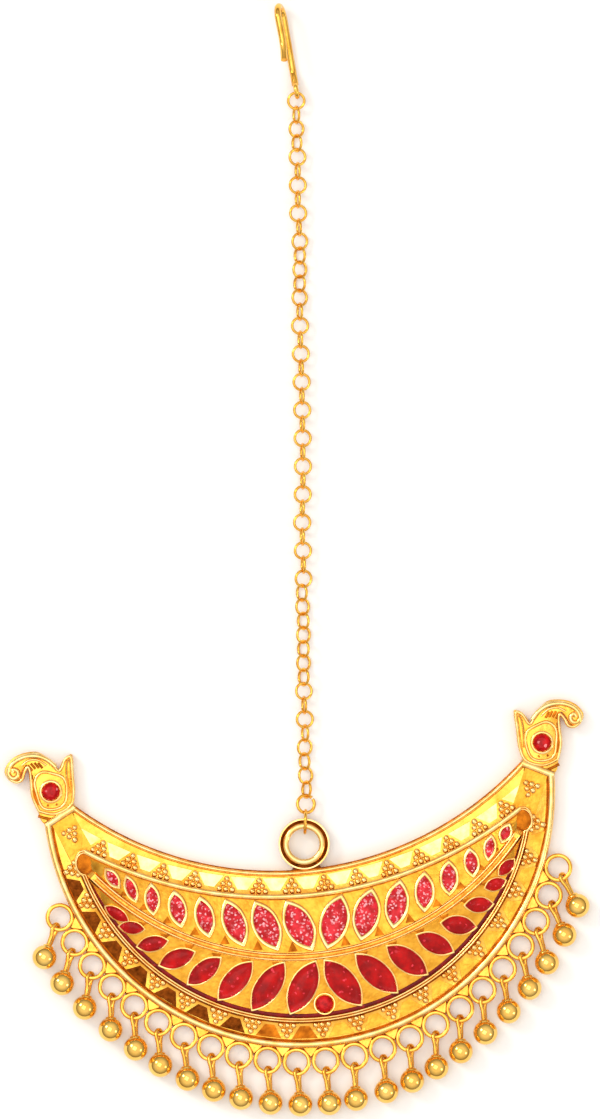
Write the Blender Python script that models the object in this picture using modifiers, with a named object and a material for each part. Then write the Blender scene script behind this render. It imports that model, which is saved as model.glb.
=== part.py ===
"""Maang tikka: a gilt cast crescent with two bird-head horns, two tiers of red marquise
cells, 23 beads on wire loops, a fine link chain and a hair hook.

Metres, +Z up. The jewel lies face up and z = 0 is the surface that it rests on.
The origin is on the flat back of the crescent's upper band, on the crescent's own axis.
+X runs to the right of the face and +Y along the chain towards the hook.
"""
import math

import bmesh
import bpy
from mathutils import Matrix, Vector

MM = 0.001

# How the crescent lies
LAY_TURN = math.radians(5.7)

# Crescent in plan: widths on the axis, from the concave edge down to the convex edge
TOP_EDGE = 1.75 * MM
UPPER_BAND = 3.4 * MM
UPPER_FIELD = 7.35 * MM
LOWER_FIELD = 7.75 * MM
LOWER_BAND = 3.76 * MM
# Crescent in plan: each horn's outer end, out from the axis and up from the origin
HORN_OUTER_OUT = 31.96 * MM
HORN_OUTER_UP = 10.35 * MM
# The horn's width there, and the tip of the field of cells, measured back from that end
HORN_WIDTH_OUT = 4.06 * MM
HORN_WIDTH_UP = 2.05 * MM
FIELD_TIP_INSET = 4.51 * MM
FIELD_TIP_DROP = 5.35 * MM
FIELD_TIP_WIDTH = 2.7 * MM
STATIONS = 16
NECK_REACH = 0.5 * MM

# Crescent in section
RIM_HEIGHT = 1.9 * MM
RIM_WIDTH = 0.7 * MM
LOWER_RIM_WIDTH = 0.95 * MM
BAND_HEIGHT = 1.5 * MM
BAND_RISE = 0.35 * MM
FRAME_HEIGHT = 2.6 * MM
FRAME_WIDTH = 0.45 * MM
RIDGE_HEIGHT = 3.5 * MM
RIDGE_WIDTH = 0.9 * MM
SEAT_HEIGHT = 1.5 * MM
SEAT_RISE = 0.8 * MM

# Tiers of red cells
SEAT_GAP = 0.2 * MM
TIER_THICKNESS = 0.65 * MM
TIER_END = 0.94
CELL_WIDTH = 3.4 * MM
CELL_SHIFT = 0.6 * MM
CELL_SINK = 0.1 * MM
CELL_HEIGHT = 0.45 * MM
CELL_TABLE = 0.66
# Columns: place as a share of the half arc, reach as a share of the field's clear width there,
# width as a share of CELL_WIDTH, lean from the arc's normal in degrees
UPPER_CELLS = (
    (0.073, 0.92, 1.00, 25.0),
    (0.209, 0.89, 0.94, 28.0),
    (0.341, 0.87, 0.84, 30.0),
    (0.467, 0.83, 0.71, 27.0),
    (0.584, 0.82, 0.66, 31.0),
    (0.697, 0.86, 0.56, 29.0),
    (0.795, 0.72, 0.46, 49.0),
    (0.885, 0.46, 0.46, 68.0),
)
LOWER_CELLS = (
    (0.073, 0.89, 0.94, -28.0),
    (0.200, 0.91, 0.88, -28.0),
    (0.321, 0.87, 0.81, -28.0),
    (0.440, 0.80, 0.71, -30.0),
    (0.549, 0.73, 0.68, -41.0),
    (0.654, 0.71, 0.57, -44.0),
    (0.750, 0.61, 0.47, -55.0),
    (0.825, 0.36, 0.44, -76.0),
)

# Round stones
STONE_SIDES = 12
STONE_TABLE = 0.6
STONE_GAP = 0.1 * MM
CENTRE_STONE_RADIUS = 1.12 * MM
CENTRE_STONE_FROM_FRAME = 1.65 * MM
CENTRE_STONE_GIRDLE = 0.4 * MM
CENTRE_STONE_CROWN = 0.35 * MM
POCKET_DEPTH = 0.35 * MM

# Granulated pads on the bands
PAD_WIDTH = 1.9 * MM
PAD_LENGTH = 1.75 * MM
PAD_HEIGHT = 0.45 * MM
PAD_SINK = 0.3 * MM
PAD_START = 1.2 * FRAME_WIDTH
UPPER_PADS = 16
UPPER_PAD_SPAN = 1.09
LOWER_PADS = 19
LOWER_PAD_SPAN = 1.03

# Cast loops along the convex edge
LOOPS = 23
LOOP_SPAN = math.radians(68.0)
LOOP_SIDES = 10
LOOP_RADIUS = 1.75 * MM
LOOP_HOLE = 1.32 * MM
LOOP_BOTTOM = 0.5 * MM
LOOP_TOP = 1.25 * MM
LUG_SINK = 0.45 * MM
LUG_FOOT = 0.86
LUG_POINTS = 5
LUG_SWEEP = math.radians(195.0)

# Bail ring on the concave edge
BAIL_RADIUS = 3.2 * MM
BAIL_HOLE = 1.9 * MM
BAIL_BOTTOM = 0.95 * MM
BAIL_TOP = 1.85 * MM

# Bird heads: the middle of each head's stone, measured from the horn's outer end
HEAD_INSET = 1.16 * MM
HEAD_RISE = 4.25 * MM
# Their outlines about that stone, as shares of HEAD_SIZE: out from the axis, up
HEAD_SIZE = 3.1 * MM
HEAD_OUTLINE = (
    (0.58, -1.30),
    (0.62, -0.69),
    (0.80, -0.10),
    (0.80, 0.50),
    (0.88, 1.15),
    (1.06, 0.92),
    (1.20, 0.62),
    (1.45, 0.55),
    (1.72, 0.74),
    (1.76, 1.06),
    (1.46, 1.44),
    (0.98, 1.64),
    (0.36, 1.63),
    (-0.14, 1.20),
    (-0.44, 0.84),
    (-0.72, 1.28),
    (-1.00, 1.37),
    (-0.96, -0.15),
    (-0.76, -0.72),
    (-0.82, -1.14),
)
HEAD_FIELD = (
    (0.40, -0.66),
    (0.56, 0.00),
    (0.56, 0.62),
    (0.10, 0.98),
    (-0.30, 0.52),
    (-0.70, 0.30),
    (-0.66, -0.36),
    (-0.40, -0.76),
)
HEAD_HEIGHT = 1.85 * MM
HEAD_FIELD_DEPTH = 0.4 * MM
HEAD_STONE_RADIUS = 1.12 * MM
HEAD_STONE_GIRDLE = 0.55 * MM
HEAD_STONE_CROWN = 0.45 * MM
COLLET_WALL = 0.22 * MM
COLLET_HEIGHT = 2.1 * MM
COLLET_SINK = 0.3 * MM

# Drops
BEAD_RADIUS = 1.525 * MM
BEAD_SIDES = 10
BEAD_RINGS = 5
BEAD_REACH = 5.3 * MM
DROP_WIRE = 0.19 * MM
DROP_CLEARANCE = 0.06 * MM
DROP_LOOP_HALF = 0.5 * MM
DROP_LOOP_FOLD = 0.6
DROP_LOOP_INSIDE = 0.7
DROP_WIRE_DEPTH = 0.72
DROP_WIRE_UPPER = 0.9
DROP_WIRE_LOWER = 0.75
# Swing of each drop from -Y towards +X, in degrees, from left to right
DROP_SWING = (-21, -17, -10, -2, 2, 3, 5, 4, 3, 4, 5, 5, 2, 5, 3, 1, 1, 4, 8, 12, 15, 22, 27)

# Chain
LINK_RADIUS = 1.0025 * MM
LINK_WIRE = 0.175 * MM
LINK_COUNT = 50
LINK_SIDES = 10
LINK_WIRE_SIDES = 5
LINK_WELD = 0.1 * MM
BAIL_LINK_RADIUS = 1.42 * MM
BAIL_LINK_WIRE = 0.2 * MM
FACE_LINK_RADIUS = 1.09 * MM
FACE_LINK_WIRE = 0.21 * MM
FACE_LINK_LIFT = 0.15 * MM
JUMP_SIDES = 10
BAIL_LINK_ACROSS = -0.34 * MM
BAIL_LINK_LAP = 0.25 * MM
# The chain's route from the bail's jump ring, in steps: across, along
CHAIN_STEP = 1.0 * MM
CHAIN_ROUTE = (
    (0.0, 0.0), (0.08, 2.2), (0.16, 4.1), (-0.10, 7.7), (-0.02, 11.3), (-0.14, 14.8),
    (-0.22, 19.7), (-0.25, 25.2), (-0.42, 28.7), (-0.22, 30.5), (-0.39, 37.3), (-0.29, 42.7),
    (-0.41, 52.7), (-0.69, 63.8), (-0.69, 72.6), (-0.89, 75.9), (-0.97, 82.7), (-1.09, 86.2),
    (-1.14, 91.2), (-1.2, 98.0),
)
# How far the chain is rolled about its own line; columns: share of its length, degrees
CHAIN_ROLL = ((0.0, 0.0), (0.05, 38.0), (0.10, 35.0), (0.13, 12.0), (0.17, 12.0), (0.20, 40.0),
              (0.31, 40.0), (0.34, 10.0), (0.70, 12.0), (0.74, 40.0), (0.79, 38.0), (0.82, 12.0),
              (0.92, 14.0), (0.95, 40.0), (0.98, 20.0), (1.0, 0.0))

# Hair hook
HOOK_TURN = math.radians(9.8)
HOOK_WIRE = 0.425 * MM
HOOK_LENGTH = 11.1 * MM
HOOK_CROOK = 1.6 * MM
HOOK_RETURN = 5.2 * MM
HOOK_FLARE = 0.8 * MM
HOOK_LEAN = math.radians(12.0)
HOOK_EYE_RADIUS = 0.8 * MM
HOOK_EYE_WIRE = 0.3 * MM
HOOK_BEND_START = 1.7 * MM
HOOK_SHANK_START = 2.55 * MM
HOOK_RETURN_BEND = 0.6
HOOK_RETURN_DIP = 0.15 * MM
HOOK_CROOK_STEPS = 6
HOOK_CLEARANCE = 0.06 * MM

GOLD = (0.83, 0.52, 0.13)
RED = (0.45, 0.01, 0.02)

# Only points that lie this close are merged when a curve becomes a mesh
MERGE = 0.002 * MM
# Faces that meet at less than this angle are one flat face
FLAT_ANGLE = math.radians(0.5)


class Arc:
    """A line of the crescent: lowest on the axis, and symmetric about it."""

    def __init__(self, low, end_u, end_v):
        rise = end_v - low
        self.low = low
        self.radius = (end_u ** 2 + rise ** 2) / (2.0 * rise)
        self.half = 2.0 * math.atan2(rise, end_u)

    def at(self, share, outset=0.0):
        """The point at a share from -1 to 1 of the arc, moved outset away from its centre."""
        turn = share * self.half
        reach = self.radius + outset
        return Vector((reach * math.sin(turn), self.low + self.radius - reach * math.cos(turn)))

    def beyond(self, point):
        """How far a point lies outside the arc's circle."""
        return (point - Vector((0.0, self.low + self.radius))).length - self.radius


FRAME_TOP_LOW = TOP_EDGE - UPPER_BAND
RIDGE_LOW = FRAME_TOP_LOW - UPPER_FIELD
FRAME_LOW_LOW = RIDGE_LOW - LOWER_FIELD
CONVEX_LOW = FRAME_LOW_LOW - LOWER_BAND
HORN_INNER_OUT = HORN_OUTER_OUT - HORN_WIDTH_OUT
HORN_INNER_UP = HORN_OUTER_UP + HORN_WIDTH_UP
TIP_U = HORN_OUTER_OUT - FIELD_TIP_INSET
TIP_V = HORN_OUTER_UP - FIELD_TIP_DROP
TIP_TOP_V = TIP_V + 0.58 * FIELD_TIP_WIDTH
TIP_RIDGE_V = TIP_V - 0.12 * FIELD_TIP_WIDTH
TIP_LOW_V = TIP_V - 0.42 * FIELD_TIP_WIDTH
HEAD_OUT = HORN_OUTER_OUT - HEAD_INSET
HEAD_UP = HORN_OUTER_UP + HEAD_RISE

TOP_LINE = Arc(TOP_EDGE, HORN_INNER_OUT, HORN_INNER_UP)
FRAME_TOP_LINE = Arc(FRAME_TOP_LOW, TIP_U, TIP_TOP_V)
UPPER_MIDDLE = Arc(0.5 * (FRAME_TOP_LOW + RIDGE_LOW), TIP_U, 0.5 * (TIP_TOP_V + TIP_RIDGE_V))
RIDGE_LINE = Arc(RIDGE_LOW, TIP_U, TIP_RIDGE_V)
LOWER_MIDDLE = Arc(0.5 * (RIDGE_LOW + FRAME_LOW_LOW), TIP_U, 0.5 * (TIP_RIDGE_V + TIP_LOW_V))
FRAME_LOW_LINE = Arc(FRAME_LOW_LOW, TIP_U, TIP_LOW_V)
CONVEX_LINE = Arc(CONVEX_LOW, HORN_OUTER_OUT, HORN_OUTER_UP)


def clear_scene():
    for obj in list(bpy.data.objects):
        bpy.data.objects.remove(obj, do_unlink=True)


def make_collection(name):
    collection = bpy.data.collections.new(name)
    bpy.context.scene.collection.children.link(collection)
    return collection


clear_scene()
PARTS = make_collection("maang_tikka")
CUTTERS = make_collection("cutters")


def make_material(name, colour, metallic, roughness):
    material = bpy.data.materials.new(name)
    material.use_nodes = True
    shader = material.node_tree.nodes["Principled BSDF"]
    shader.inputs["Base Color"].default_value = (*colour, 1.0)
    shader.inputs["Metallic"].default_value = metallic
    shader.inputs["Roughness"].default_value = roughness
    return material


def make_gold(name):
    return make_material(name, GOLD, 1.0, 0.25)


def make_red(name):
    return make_material(name, RED, 0.0, 0.15)


def add_piece(name, mesh, material, parent=None):
    """A sub-part of the jewel."""
    piece = bpy.data.objects.new(name, mesh)
    PARTS.objects.link(piece)
    piece.parent = parent
    if not mesh.materials:
        mesh.materials.append(material)
    return piece


def add_cutter(name, mesh, parent=None):
    """A helper that a Boolean reads, and that isn't part of the jewel."""
    cutter = bpy.data.objects.new(name, mesh)
    CUTTERS.objects.link(cutter)
    cutter.parent = parent
    cutter.hide_render = True
    cutter.display_type = "WIRE"
    return cutter


def combine(piece, helper, operation, helper_laps=False):
    """Joins or cuts a piece with a helper; helper_laps says that the helper overlaps itself."""
    boolean = piece.modifiers.new(operation.lower() + "_" + helper.name, "BOOLEAN")
    boolean.object = helper
    boolean.operation = operation
    boolean.solver = "EXACT"
    boolean.use_self = helper_laps


def mesh_of(name, source):
    """A closed, outward mesh of a curve or of an object with modifiers, which is then removed."""
    bpy.context.view_layer.update()
    depsgraph = bpy.context.evaluated_depsgraph_get()
    mesh = bpy.data.meshes.new_from_object(source.evaluated_get(depsgraph))
    mesh.name = name
    bpy.data.objects.remove(source, do_unlink=True)
    work = bmesh.new()
    work.from_mesh(mesh)
    bmesh.ops.remove_doubles(work, verts=work.verts, dist=MERGE)
    bmesh.ops.recalc_face_normals(work, faces=work.faces)
    work.to_mesh(mesh)
    work.free()
    return mesh


def joined(name, meshes_and_places):
    """One mesh that holds several, each moved by its own matrix."""
    work = bmesh.new()
    for mesh, place in meshes_and_places:
        copy = mesh.copy()
        copy.transform(place)
        if place.determinant() < 0.0:
            copy.flip_normals()
        work.from_mesh(copy)
        bpy.data.meshes.remove(copy)
    result = bpy.data.meshes.new(name)
    work.to_mesh(result)
    work.free()
    return result


def flat_outline(name, rings, bottom, top):
    """A flat plate from z = bottom to top, out of closed rings of points; inner rings are holes."""
    curve = bpy.data.curves.new(name, "CURVE")
    curve.dimensions = "2D"
    curve.fill_mode = "BOTH"
    curve.extrude = 0.5 * (top - bottom)
    for ring in rings:
        spline = curve.splines.new("POLY")
        spline.points.add(len(ring) - 1)
        for point, place in zip(spline.points, ring):
            point.co = (place[0], place[1], 0.0, 1.0)
        spline.use_cyclic_u = True
    helper = bpy.data.objects.new(name, curve)
    CUTTERS.objects.link(helper)
    mesh = mesh_of(name, helper)
    mesh.transform(Matrix.Translation((0.0, 0.0, 0.5 * (top + bottom))))
    work = bmesh.new()
    work.from_mesh(mesh)
    bmesh.ops.dissolve_limit(work, angle_limit=FLAT_ANGLE, verts=work.verts, edges=work.edges)
    work.to_mesh(mesh)
    work.free()
    return mesh


def wire(name, points, radius):
    """A round wire with six sides and filled ends."""
    curve = bpy.data.curves.new(name, "CURVE")
    curve.dimensions = "3D"
    curve.bevel_depth = radius
    curve.bevel_resolution = 1
    curve.use_fill_caps = True
    spline = curve.splines.new("POLY")
    spline.points.add(len(points) - 1)
    for point, place in zip(spline.points, points):
        point.co = (*place, 1.0)
    helper = bpy.data.objects.new(name, curve)
    CUTTERS.objects.link(helper)
    return mesh_of(name, helper)


def ring(radius, wire_radius, sides, wire_sides):
    """A round wire ring in the XY plane."""
    bpy.ops.mesh.primitive_torus_add(
        major_radius=radius, minor_radius=wire_radius,
        major_segments=sides, minor_segments=wire_sides)
    made = bpy.context.object
    mesh = made.data
    bpy.data.objects.remove(made, do_unlink=True)
    mesh.transform(Matrix.Rotation(math.pi / sides, 4, "Z"))
    return mesh


def loft(name, sections):
    """A closed body through rings with the same number of points, with both ends capped."""
    work = bmesh.new()
    rings = [[work.verts.new(point) for point in section] for section in sections]
    count = len(rings[0])
    for before, after in zip(rings, rings[1:]):
        for i in range(count):
            j = (i + 1) % count
            work.faces.new((before[i], before[j], after[j], after[i]))
    work.faces.new(rings[0])
    work.faces.new(list(reversed(rings[-1])))
    bmesh.ops.triangulate(work, faces=work.faces)
    bmesh.ops.recalc_face_normals(work, faces=work.faces)
    mesh = bpy.data.meshes.new(name)
    work.to_mesh(mesh)
    work.free()
    return mesh


def circle(radius, sides, centre=(0.0, 0.0), start=0.0):
    turns = [start + 2.0 * math.pi * i / sides for i in range(sides)]
    return [(centre[0] + radius * math.cos(t), centre[1] + radius * math.sin(t)) for t in turns]


def seat_height(climb):
    """The height of the tiers' seat, from the frame wires (climb 0) to the ridge (climb 1)."""
    return SEAT_HEIGHT + SEAT_RISE * climb


def station_shares():
    """Where the casting and the tiers have their sections, so that they fit along each facet."""
    return [-1.0 + 2.0 * i / STATIONS for i in range(STATIONS + 1)]


def crescent_section(share):
    """One section of the casting, as (u, v, z) points, from the back of the concave edge."""
    band_top = BAND_HEIGHT + BAND_RISE
    half_ridge = 0.5 * RIDGE_WIDTH
    profile = (
        (TOP_LINE, 0.0, 0.0),
        (TOP_LINE, 0.0, RIM_HEIGHT),
        (TOP_LINE, RIM_WIDTH, RIM_HEIGHT),
        (TOP_LINE, RIM_WIDTH, BAND_HEIGHT),
        (FRAME_TOP_LINE, -FRAME_WIDTH, band_top),
        (FRAME_TOP_LINE, -FRAME_WIDTH, FRAME_HEIGHT),
        (FRAME_TOP_LINE, 0.0, FRAME_HEIGHT),
        (FRAME_TOP_LINE, 0.0, seat_height(0.0)),
        (RIDGE_LINE, -half_ridge, seat_height(1.0)),
        (RIDGE_LINE, -half_ridge, RIDGE_HEIGHT),
        (RIDGE_LINE, half_ridge, RIDGE_HEIGHT),
        (RIDGE_LINE, half_ridge, seat_height(1.0)),
        (FRAME_LOW_LINE, 0.0, seat_height(0.0)),
        (FRAME_LOW_LINE, 0.0, FRAME_HEIGHT),
        (FRAME_LOW_LINE, FRAME_WIDTH, FRAME_HEIGHT),
        (FRAME_LOW_LINE, FRAME_WIDTH, band_top),
        (CONVEX_LINE, -LOWER_RIM_WIDTH, BAND_HEIGHT),
        (CONVEX_LINE, -LOWER_RIM_WIDTH, RIM_HEIGHT),
        (CONVEX_LINE, 0.0, RIM_HEIGHT),
        (CONVEX_LINE, 0.0, 0.0),
        (RIDGE_LINE, 0.0, 0.0),
    )
    return [(*line.at(share, outset), height) for line, outset, height in profile]


def neck_section(side):
    """The end of the casting, where the ridge and frames have run out under the bird's head."""
    inner = Vector((HORN_INNER_OUT, HORN_INNER_UP))
    outer = Vector((HORN_OUTER_OUT, HORN_OUTER_UP))
    width = (outer - inner).length
    reach = Vector((inner.y - outer.y, outer.x - inner.x)) * (NECK_REACH / width)
    rim = RIM_WIDTH / width
    lower_rim = LOWER_RIM_WIDTH / width
    floor = BAND_HEIGHT
    columns = (
        (0.0, 0.0), (0.0, RIM_HEIGHT), (rim, RIM_HEIGHT), (rim, floor),
        (0.28, floor), (0.32, floor), (0.36, floor), (0.40, floor),
        (0.44, floor), (0.48, floor), (0.52, floor), (0.56, floor),
        (0.60, floor), (0.64, floor), (0.68, floor), (0.72, floor),
        (1.0 - lower_rim, floor), (1.0 - lower_rim, RIM_HEIGHT), (1.0, RIM_HEIGHT), (1.0, 0.0),
        (0.5, 0.0),
    )
    points = []
    for across, height in columns:
        place = inner.lerp(outer, across) + reach
        points.append((side * place.x, place.y, height))
    return points


def lug(place, outward, radius, hole, sink, bottom, top):
    """A ring whose near side widens into the metal that it is soldered to."""
    outer = [(-radius - sink, LUG_FOOT * radius), (-radius - sink, -LUG_FOOT * radius)]
    for step in range(LUG_POINTS):
        turn = LUG_SWEEP * (step / (LUG_POINTS - 1) - 0.5)
        outer.append((radius * math.cos(turn), radius * math.sin(turn)))
    mesh = flat_outline("lug", (outer, circle(hole, LOOP_SIDES)), bottom, top)
    return mesh, Matrix.Translation((*place, 0.0)) @ Matrix.Rotation(outward, 4, "Z")


def loop_places():
    """The middle of each cast loop and the way it points, in the crescent's own frame."""
    places = []
    for i in range(LOOPS):
        turn = -LOOP_SPAN + 2.0 * LOOP_SPAN * i / (LOOPS - 1)
        place = CONVEX_LINE.at(turn / CONVEX_LINE.half, LOOP_RADIUS)
        places.append((place, turn - 0.5 * math.pi))
    return places


def head_points(outline, side):
    return [(side * (HEAD_OUT + HEAD_SIZE * out), HEAD_UP + HEAD_SIZE * up)
            for out, up in outline]


def collet(side):
    centre = (side * HEAD_OUT, HEAD_UP)
    hole = HEAD_STONE_RADIUS + STONE_GAP
    rings = (circle(hole + COLLET_WALL, STONE_SIDES, centre), circle(hole, STONE_SIDES, centre))
    floor = HEAD_HEIGHT - HEAD_FIELD_DEPTH
    return flat_outline("collet", rings, floor - COLLET_SINK, COLLET_HEIGHT)


def pads():
    """The raised triangles that carry the granulation, base to the frame and apex to the rim."""
    rows = (
        (UPPER_PADS, UPPER_PAD_SPAN, FRAME_TOP_LINE, -1.0),
        (LOWER_PADS, LOWER_PAD_SPAN, FRAME_LOW_LINE, 1.0),
    )
    triangles = []
    for count, span, frame_line, away in rows:
        for i in range(count):
            share = span * (-1.0 + 2.0 * i / (count - 1))
            foot = frame_line.at(share, away * PAD_START)
            apex = frame_line.at(share, away * (PAD_START + PAD_LENGTH))
            along = (apex - foot).normalized()
            across = Vector((-along.y, along.x)) * 0.5 * PAD_WIDTH
            corners = (apex, foot + across, foot - across)
            pad = flat_outline("pad", (corners,), BAND_HEIGHT - PAD_SINK,
                               BAND_HEIGHT + PAD_HEIGHT)
            triangles.append((pad, Matrix.Identity(4)))
    return joined("pads", triangles)


def crescent_plate(lay):
    middle = [crescent_section(share) for share in station_shares()]
    sections = [neck_section(-1.0)] + middle + [neck_section(1.0)]
    plate = add_piece("crescent_plate", loft("crescent_plate", sections),
                      make_gold("cast gilt crescent"), lay)

    lugs = [lug(place, outward, LOOP_RADIUS, LOOP_HOLE, LUG_SINK, LOOP_BOTTOM, LOOP_TOP)
            for place, outward in loop_places()]
    bail_place = (0.0, TOP_EDGE + BAIL_RADIUS)
    lugs.append(lug(bail_place, 0.5 * math.pi, BAIL_RADIUS, BAIL_HOLE, LUG_SINK,
                    BAIL_BOTTOM, BAIL_TOP))
    combine(plate, add_cutter("cast_loops", joined("cast_loops", lugs), lay), "UNION")
    combine(plate, add_cutter("pads", pads(), lay), "UNION")

    for name, side in (("left", -1.0), ("right", 1.0)):
        head = flat_outline("head", (head_points(HEAD_OUTLINE, side),), 0.0, HEAD_HEIGHT)
        field = flat_outline("head_field", (head_points(HEAD_FIELD, side),),
                             HEAD_HEIGHT - HEAD_FIELD_DEPTH, HEAD_HEIGHT + HEAD_FIELD_DEPTH)
        combine(plate, add_cutter("head_" + name, head, lay), "UNION")
        combine(plate, add_cutter("head_field_" + name, field, lay), "DIFFERENCE")
        combine(plate, add_cutter("collet_" + name, collet(side), lay), "UNION")
    return plate


def climb_upper(point):
    down = FRAME_TOP_LINE.beyond(point)
    up = -RIDGE_LINE.beyond(point)
    return down / (down + up)


def climb_lower(point):
    down = RIDGE_LINE.beyond(point)
    up = -FRAME_LOW_LINE.beyond(point)
    return up / (down + up)


def cell_outline(centre, axis, length, width):
    """The eight points of a marquise."""
    across = Vector((-axis.y, axis.x))
    half_widths = ((1.0, 0.0), (0.5, 0.75), (0.0, 1.0), (-0.5, 0.75))
    side_one = [(along, half) for along, half in half_widths]
    side_two = [(-along, -half) for along, half in half_widths]
    return [centre + axis * (0.5 * length * along) + across * (0.5 * width * half)
            for along, half in side_one + side_two]


def cell_mesh(centre, axis, length, width, climb):
    """A marquise cell: eight crown facets and a table, on the roof's slope."""
    outline = cell_outline(centre, axis, length, width)
    table = [centre.lerp(point, CELL_TABLE) for point in outline]
    levels = ((outline, -CELL_SINK), (table, CELL_HEIGHT))
    sections = []
    for points, lift in levels:
        top = [seat_height(climb(p)) + SEAT_GAP + TIER_THICKNESS + lift for p in points]
        sections.append([(*p, z) for p, z in zip(points, top)])
    return loft("cell", sections)


def ridge_edge(share, ridge_side):
    """The edge of a tier along the ridge, clear of it."""
    return RIDGE_LINE.at(share, ridge_side * (0.5 * RIDGE_WIDTH + SEAT_GAP))


def tier_section(share, frame_line, frame_gap, ridge_side):
    frame_low = seat_height(0.0) + SEAT_GAP
    ridge_low = seat_height(1.0) + SEAT_GAP
    near = frame_line.at(share, frame_gap)
    far = ridge_edge(share, ridge_side)
    return [(*near, frame_low), (*near, frame_low + TIER_THICKNESS),
            (*far, ridge_low + TIER_THICKNESS), (*far, ridge_low)]


def tier(name, lay, middle, frame_line, frame_gap, ridge_side, table, climb):
    inner = [share for share in station_shares() if abs(share) < TIER_END - 0.5 / STATIONS]
    shares = [-TIER_END] + inner + [TIER_END]
    sections = [tier_section(s, frame_line, frame_gap, ridge_side) for s in shares]
    piece = add_piece(name, loft(name, sections), make_red("red cells " + name), lay)
    cells = []
    for place, reach, width, lean in table:
        for side in (-1.0, 1.0):
            share = side * place + CELL_SHIFT / (middle.radius * middle.half)
            turn = share * middle.half - side * math.radians(lean)
            axis = Vector((-math.sin(turn), math.cos(turn)))
            near = frame_line.at(share, frame_gap)
            far = ridge_edge(share, ridge_side)
            length = reach * (near - far).length / math.cos(math.radians(lean))
            cell = cell_mesh(0.5 * (near + far), axis, length, CELL_WIDTH * width, climb)
            cells.append((cell, Matrix.Identity(4)))
    cells_helper = add_cutter(name + "_cells", joined(name + "_cells", cells), lay)
    combine(piece, cells_helper, "UNION", helper_laps=True)
    return piece


def upper_tier(lay):
    return tier("upper_tier", lay, UPPER_MIDDLE, FRAME_TOP_LINE, SEAT_GAP, -1.0,
                UPPER_CELLS, climb_upper)


def centre_place():
    share = CELL_SHIFT / (FRAME_LOW_LINE.radius * FRAME_LOW_LINE.half)
    return FRAME_LOW_LINE.at(share, -CENTRE_STONE_FROM_FRAME)


def pocket_floor():
    top = seat_height(climb_lower(centre_place())) + SEAT_GAP + TIER_THICKNESS
    return top - POCKET_DEPTH


def lower_tier(lay):
    piece = tier("lower_tier", lay, LOWER_MIDDLE, FRAME_LOW_LINE, -SEAT_GAP, 1.0,
                 LOWER_CELLS, climb_lower)
    pocket = flat_outline(
        "pocket", (circle(CENTRE_STONE_RADIUS + STONE_GAP, STONE_SIDES, centre_place()),),
        pocket_floor(), RIDGE_HEIGHT)
    combine(piece, add_cutter("pocket", pocket, lay), "DIFFERENCE")
    return piece


def round_stone(name, lay, place, floor, radius, girdle, crown):
    """A turned stone with a girdle, a faceted crown and a table."""
    profile = ((0.0, crown + girdle), (STONE_TABLE * radius, crown + girdle),
               (radius, girdle), (radius, 0.0), (0.0, 0.0))
    mesh = bpy.data.meshes.new(name)
    mesh.from_pydata([(x, 0.0, z) for x, z in profile],
                     [(i, i + 1) for i in range(len(profile) - 1)], [])
    stone = add_piece(name, mesh, make_red("red stone " + name), lay)
    screw = stone.modifiers.new("turn", "SCREW")
    screw.steps = STONE_SIDES
    screw.render_steps = STONE_SIDES
    screw.use_merge_vertices = True
    screw.merge_threshold = MERGE
    stone.location = (place[0], place[1], floor + STONE_GAP)
    return stone


def stones(lay):
    round_stone("centre_stone", lay, centre_place(), pocket_floor(), CENTRE_STONE_RADIUS,
                CENTRE_STONE_GIRDLE, CENTRE_STONE_CROWN)
    floor = HEAD_HEIGHT - HEAD_FIELD_DEPTH
    for name, side in (("left", -1.0), ("right", 1.0)):
        place = (side * HEAD_OUT, HEAD_UP)
        round_stone("head_stone_" + name, lay, place, floor, HEAD_STONE_RADIUS,
                    HEAD_STONE_GIRDLE, HEAD_STONE_CROWN)


def drop_mesh():
    """A round bead and the wire loop that holds it, the loop's middle at the cast loop's."""
    high = LOOP_TOP + DROP_WIRE + DROP_CLEARANCE
    low = LOOP_BOTTOM - DROP_WIRE - DROP_CLEARANCE
    inside = DROP_LOOP_INSIDE * LOOP_HOLE
    wide = DROP_LOOP_HALF
    out = LOOP_RADIUS + wide
    into_bead = BEAD_REACH - DROP_WIRE_DEPTH * BEAD_RADIUS
    path = (
        (into_bead, 0.0, DROP_WIRE_UPPER * BEAD_RADIUS),
        (out, -wide, high),
        (inside, -DROP_LOOP_FOLD * wide, high),
        (inside, DROP_LOOP_FOLD * wide, low),
        (out, wide, low),
        (into_bead, 0.0, DROP_WIRE_LOWER * BEAD_RADIUS),
    )
    loop = add_cutter("drop_wire", wire("drop_wire", path, DROP_WIRE))
    bpy.ops.mesh.primitive_uv_sphere_add(
        segments=BEAD_SIDES, ring_count=BEAD_RINGS, radius=BEAD_RADIUS,
        location=(BEAD_REACH, 0.0, BEAD_RADIUS))
    bead = bpy.context.object
    bead.data.transform(Matrix.Translation(bead.location))
    bead.location = (0.0, 0.0, 0.0)
    combine(bead, loop, "UNION")
    return mesh_of("drop", bead)


def drops():
    mesh = drop_mesh()
    mesh.materials.append(make_gold("gilt bead drop"))
    lay = Matrix.Rotation(LAY_TURN, 2)
    for i, (place, _) in enumerate(loop_places()):
        drop = add_piece("drop_%02d" % (i + 1), mesh, None)
        drop.location = (*(lay @ place), 0.0)
        swing = DROP_SWING[i % len(DROP_SWING)]
        drop.rotation_euler = (0.0, 0.0, math.radians(swing - 90.0))


def between(table, share):
    """The value at a share, read from (share, value) rows."""
    for (start, low), (end, high) in zip(table, table[1:]):
        if share <= end:
            return low + (high - low) * (share - start) / (end - start)
    return table[-1][1]


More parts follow.
